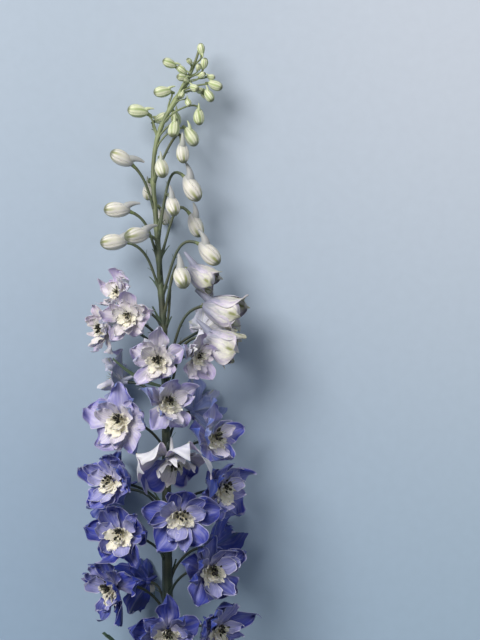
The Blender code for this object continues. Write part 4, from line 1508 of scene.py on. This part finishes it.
# %% [markdown]
# ## Opening buds
# The largest buds are about to open: their sepals still overlap in a bell, but each edge and tip already
# shows. A swept body can't overlap itself like that, so each sepal is a sheet on the bell, with one edge
# under its neighbour's and one over it. The bud skin is used again, with more lilac.

# %% Opening buds
BELL_PLUMPNESS = 0.40
BELL_WALL = 0.45 * MM
BELL_ROUND_FROM = 0.62
BELL_RIB = 0.020
INNER_BELL_PETALS = 4
INNER_BELL_SHARE = 0.72
BELL_SPUR_STEPS = 9


def bell_sepal(grid, angle, length, flare, share, phase):
    """A sepal on a bell round the bud's own axis, in millimetres."""
    across, along = grid
    tip = np.clip((along - BELL_ROUND_FROM) / (1.0 - BELL_ROUND_FROM), 0.0, 1.0)
    breadth = np.sin(math.pi * (0.14 + 0.60 * along)) * np.sqrt(1.0 - 0.998 * tip ** 2.4)
    turn = angle + across * share * breadth
    radius = BELL_PLUMPNESS * length * np.sin(math.pi * (0.08 + 0.62 * along)) ** 0.85
    radius = radius * (1.0 + 0.09 * across)
    radius += flare * length * along ** 4 * (1.0 + 0.9 * np.cos(2.6 * across + phase))
    radius += 0.020 * length * np.abs(across) ** 2 * np.sin(8.0 * along + phase)
    radius += BELL_RIB * length * np.cos(3.0 * math.pi * across) * np.sin(math.pi * along)
    radius -= 0.024 * length * np.exp(-(across / 0.2) ** 2) * np.sin(math.pi * along)
    ruffle = 0.05 * np.sin(5.0 * across + phase) * along ** 4
    tall = length * (-0.05 + along * (1.0 - 0.04 * across ** 2) + ruffle)
    return np.stack((np.cos(turn) * radius, np.sin(turn) * radius, tall), axis=-1)


def opening_bud(number, row):
    axes, joint, arrival = bud_place(row)
    draw = random.Random(4000 + number).uniform
    stock = Stock()
    grid = petal_grid(30, 21)
    length = row.length
    sepals = []
    for sepal in range(SEPALS):
        angle = math.radians(90 + 360.0 / SEPALS * sepal + draw(-6, 6))
        local = bell_sepal(grid, angle, length * draw(0.86, 1.08), draw(0.06, 0.20),
                           math.radians(draw(54, 66)), draw(0, 6.28))
        sepals.append((local, 1.0))
    for inner in range(INNER_BELL_PETALS):
        angle = math.radians(40 + 360.0 / INNER_BELL_PETALS * inner + draw(-10, 10))
        local = bell_sepal(grid, angle, length * draw(0.80, 0.92), 0.0, math.radians(50), 1.0)
        local[..., :2] *= INNER_BELL_SHARE
        sepals.append((local, 0.6))
    for local, opening in sepals:
        stock.add_sheet(as_placed(local * MM, axes, joint), BELL_WALL, *grid, opening=opening, knob=0.0,
                        along=grid[1], fold=0.5 + grid[0] * 0.36, young=0.0)

    t = np.linspace(0.0, 1.0, BELL_SPUR_STEPS)
    spur = np.stack((0.0 * t, 0.10 + 0.20 * t ** 0.8, 0.14 - 0.52 * t), axis=1) * length * MM
    knob = np.linspace(joint + axes[2] * STUB_INSIDE * MM, joint - arrival * KNOB_LENGTH * MM, 5)
    plain = {"along": 0.2, "fold": 0.3, "young": 0.0, "opening": 1.0}
    stock.add_tube(as_placed(spur, axes, joint), np.linspace(0.125, 0.035, BELL_SPUR_STEPS) * length * MM, 12,
                   knob=0.0, **plain)
    stock.add_tube(knob, np.linspace(2.0, 1.4, 5) * MM, 12, knob=1.0, **plain)
    return stock.make(f"white_bud_{number:02d}", BUD_SKIN)


for number, row in enumerate(BUDS, 1):
    if row.length > OPENING_FROM:
        stand_for(opening_bud(number, row), "bud", f"bud_{number:02d}")
        print("opening bud", number)

# %% [markdown]
# ## Stamens
# A cluster of dark anthers on short threads stands above the eye, a little toward the spike's tip. A tree
# sets its points on a sunflower spiral, puts an anther on each, and leans a thread from the middle to each
# anther.

# %% Stamen finish


def stamen_dark():
    skin = Finish("stamen_dark", 0.6)
    anther = traits_of(skin.tree, "anther")[0]
    grain = noise(skin.tree, object_place(skin.tree), 1500.0, 2.0)
    dark = grain.between((0.003, 0.003, 0.004), (0.014, 0.012, 0.010))
    return skin.dress(anther.between((0.16, 0.18, 0.09), dark), 0.5 + grain * 0.3, grain, 0.5, 0.15 * MM)


STAMEN_DARK = stamen_dark()
print("stamen finish nodes", len(STAMEN_DARK.node_tree.nodes))

# %% Stamens
SUNFLOWER_TURN = 2.39996
THREAD_RADIUS = 0.22 * MM
STAMEN_FOOT = (0.4, 2.0, 4.2)
# At a scale of one
STAMEN_SPREAD = 3.4 * MM
STAMEN_RISE = 5.4 * MM
ANTHER_SIZE = 1.15 * MM


def stamen_tree():
    tree, wires = new_tree(
        "stamens", Count=11, Spread=0.003, Rise=0.006, Anther=0.0009, Seed=1, Skin=STAMEN_DARK)
    line = Wire.node(tree, "GeometryNodeMeshLine", Count=wires["Count"], Offset=(0.0, 0.0, 0.0))
    index = Wire.node(tree, "GeometryNodeInputIndex")
    turn = index * SUNFLOWER_TURN
    chance = chance_in(tree, "FLOAT", 0.55, 1.45, ID=index, Seed=wires["Seed"])
    bulk = chance_in(tree, "FLOAT", 0.6, 1.35, ID=index, Seed=wires["Seed"] + 7)
    out = wires["Spread"] * ((index + 0.5) / wires["Count"]).maths("SQRT")
    rise = wires["Rise"] * (0.55 + 0.45 * chance)
    head = vector_of(
        tree, turn.maths("COSINE") * out * chance, turn.maths("SINE") * out * 1.25 * chance, rise)
    points = moved(tree, line, Position=head)
    lean = leaning(tree, Wire.node(tree, "GeometryNodeInputPosition"))

    ball = Wire.node(tree, "GeometryNodeMeshIcoSphere", Radius=1.0, Subdivisions=2)
    grain = Wire.node(tree, "ShaderNodeTexNoise", Scale=2.5, Detail=1.0, output="Fac")
    normal = Wire.node(tree, "GeometryNodeInputNormal", output="Normal")
    ball = moved(tree, ball, Offset=normal.maths("MULTIPLY", grain * 0.4 - 0.2))
    size = wires["Anther"] * bulk
    anthers = instances(tree, points, store(tree, ball, "anther", 1.0), lean,
                        vector_of(tree, size * 0.72, size * 0.95, size * 1.35))

    thread = Wire.node(
        tree, "GeometryNodeMeshCone", Vertices=6, Radius_Top=0.6, Radius_Bottom=1.0, Depth=1.0)
    threads = instances(tree, points, store(tree, thread, "anther", 0.0), lean,
                        vector_of(tree, THREAD_RADIUS, THREAD_RADIUS, wires["Rise"]))
    down = vector_of(tree, 0.0, 0.0, wires["Rise"] * -1.0)
    threads = Wire.node(tree, "GeometryNodeTranslateInstances", Instances=threads, Translation=down)
    return end_tree(tree, joined(tree, anthers, threads), wires["Skin"])


def press_mesh(mesh, room):
    """Eases a mesh's points back from the walls of its room."""
    points = np.empty(3 * len(mesh.vertices), dtype=np.float32)
    mesh.vertices.foreach_get("co", points)
    pressed = room.press(points.astype(float).reshape(-1, 3))
    mesh.vertices.foreach_set("co", pressed.astype(np.float32).ravel())


STAMENS = stamen_tree()
for number, row in enumerate(FLORETS, 1):
    axes, place = floret_place(row)
    scale = eye_scale(row)
    mesh = grow(f"stamens_{number:02d}", STAMENS, Count=9 + number % 5, Spread=STAMEN_SPREAD * scale,
                Rise=STAMEN_RISE * scale, Anther=ANTHER_SIZE * scale, Seed=number, Skin=STAMEN_DARK)
    mesh.transform(placement(axes, as_placed(np.array(STAMEN_FOOT) * scale * MM, axes, place)))
    press_mesh(mesh, rooms[number - 1])
    stand_for(place_piece(mesh.name, mesh), "eye")
print("stamen faces", len(mesh.polygons))

# %% [markdown]
# ## Floor, light and camera
# The photograph looks at the upright spike from the side, so the camera looks straight down on the lying
# one. One large soft lamp at the upper left gives clear but gentle shadows, and a weak one from the right
# and a faint bluish sky fill them. The floor carries painted light: its colour grows lighter from left to
# right and from foot to tip.

# %% Stage
FLOOR_HALF = 3.0
PHOTO_MM_A_PIXEL = 0.8
PHOTO_PIXELS_TALL = 640.0
PHOTO_MIDDLE = (60.0, 351.0)
CAMERA_HEIGHT = 1.6
SUBJECT_HEIGHT = 0.06
LAMP_TARGET = (0.0, 0.0, 0.05)
# Place, size, power, colour
LAMPS = {
    "key": ((-0.95, 1.0, 1.5), 1.3, 46.0, (1.0, 0.975, 0.94)),
    "fill": ((1.2, -0.2, 1.6), 1.4, 4.0, (0.9, 0.95, 1.0)),
}
SKY_STRENGTH = 0.19
SKY_COLOUR = (0.84, 0.91, 1.0, 1.0)


def floor_finish():
    skin = Finish("floor_pale", 0.9)
    place = object_place(skin.tree)
    # Painted light: the floor grows lighter toward the right and toward the tip.
    painted_light_across = place.part("X").step(-0.12, 0.34)
    low = painted_light_across.between((0.305, 0.420, 0.560), (0.400, 0.530, 0.665))
    high = painted_light_across.between((0.440, 0.515, 0.610), (0.640, 0.695, 0.785))
    grain = noise(skin.tree, place, 120.0, 4.0)
    colour = place.part("Y").step(-0.28, 0.36).between(low, high)
    skin.feed("Base Color", colour.maths("MULTIPLY", 0.94 + grain * 0.06))
    return skin.material


def add_floor():
    mesh = bpy.data.meshes.new("floor")
    corners = [(x * FLOOR_HALF, y * FLOOR_HALF, 0.0) for x, y in ((-1, -1), (1, -1), (1, 1), (-1, 1))]
    mesh.from_pydata(corners, [], [(0, 1, 2, 3)])
    mesh.materials.append(floor_finish())
    floor = place_piece("floor", mesh)


def add_lamp(name, place, size, power, colour):
    lamp = bpy.data.lights.new(name, "AREA")
    lamp.shape = "DISK"
    lamp.size = size
    lamp.energy = power
    lamp.color = colour
    axes = axes_for(unit(np.array(place) - np.array(LAMP_TARGET)))
    place_piece(name, lamp).matrix_world = placement(axes, place)


def add_sky():
    world = bpy.data.worlds.new("sky")
    world.use_nodes = True
    background = world.node_tree.nodes["Background"]
    background.inputs["Color"].default_value = SKY_COLOUR
    background.inputs["Strength"].default_value = SKY_STRENGTH
    bpy.context.scene.world = world


def add_camera():
    """Straight above. The photograph's middle is a height on the stem and a distance aside."""
    camera = bpy.data.cameras.new("camera")
    camera.sensor_fit = "VERTICAL"
    half_view = PHOTO_PIXELS_TALL * PHOTO_MM_A_PIXEL * MM / 2.0
    camera.angle_y = 2.0 * math.atan(half_view / (CAMERA_HEIGHT - SUBJECT_HEIGHT))
    thing = place_piece("camera", camera)
    aside, height = PHOTO_MIDDLE
    thing.location = (SET_DOWN[0] + aside * MM, SET_DOWN[1] + height * MM, CAMERA_HEIGHT)
    bpy.context.scene.camera = thing


add_floor()
for name, settings in LAMPS.items():
    add_lamp(name, *settings)
add_sky()
add_camera()
bpy.context.scene.view_settings.view_transform = "Standard"
print("lamps", len(LAMPS), "camera", [round(value, 3) for value in bpy.context.scene.camera.location])

# %% [markdown]
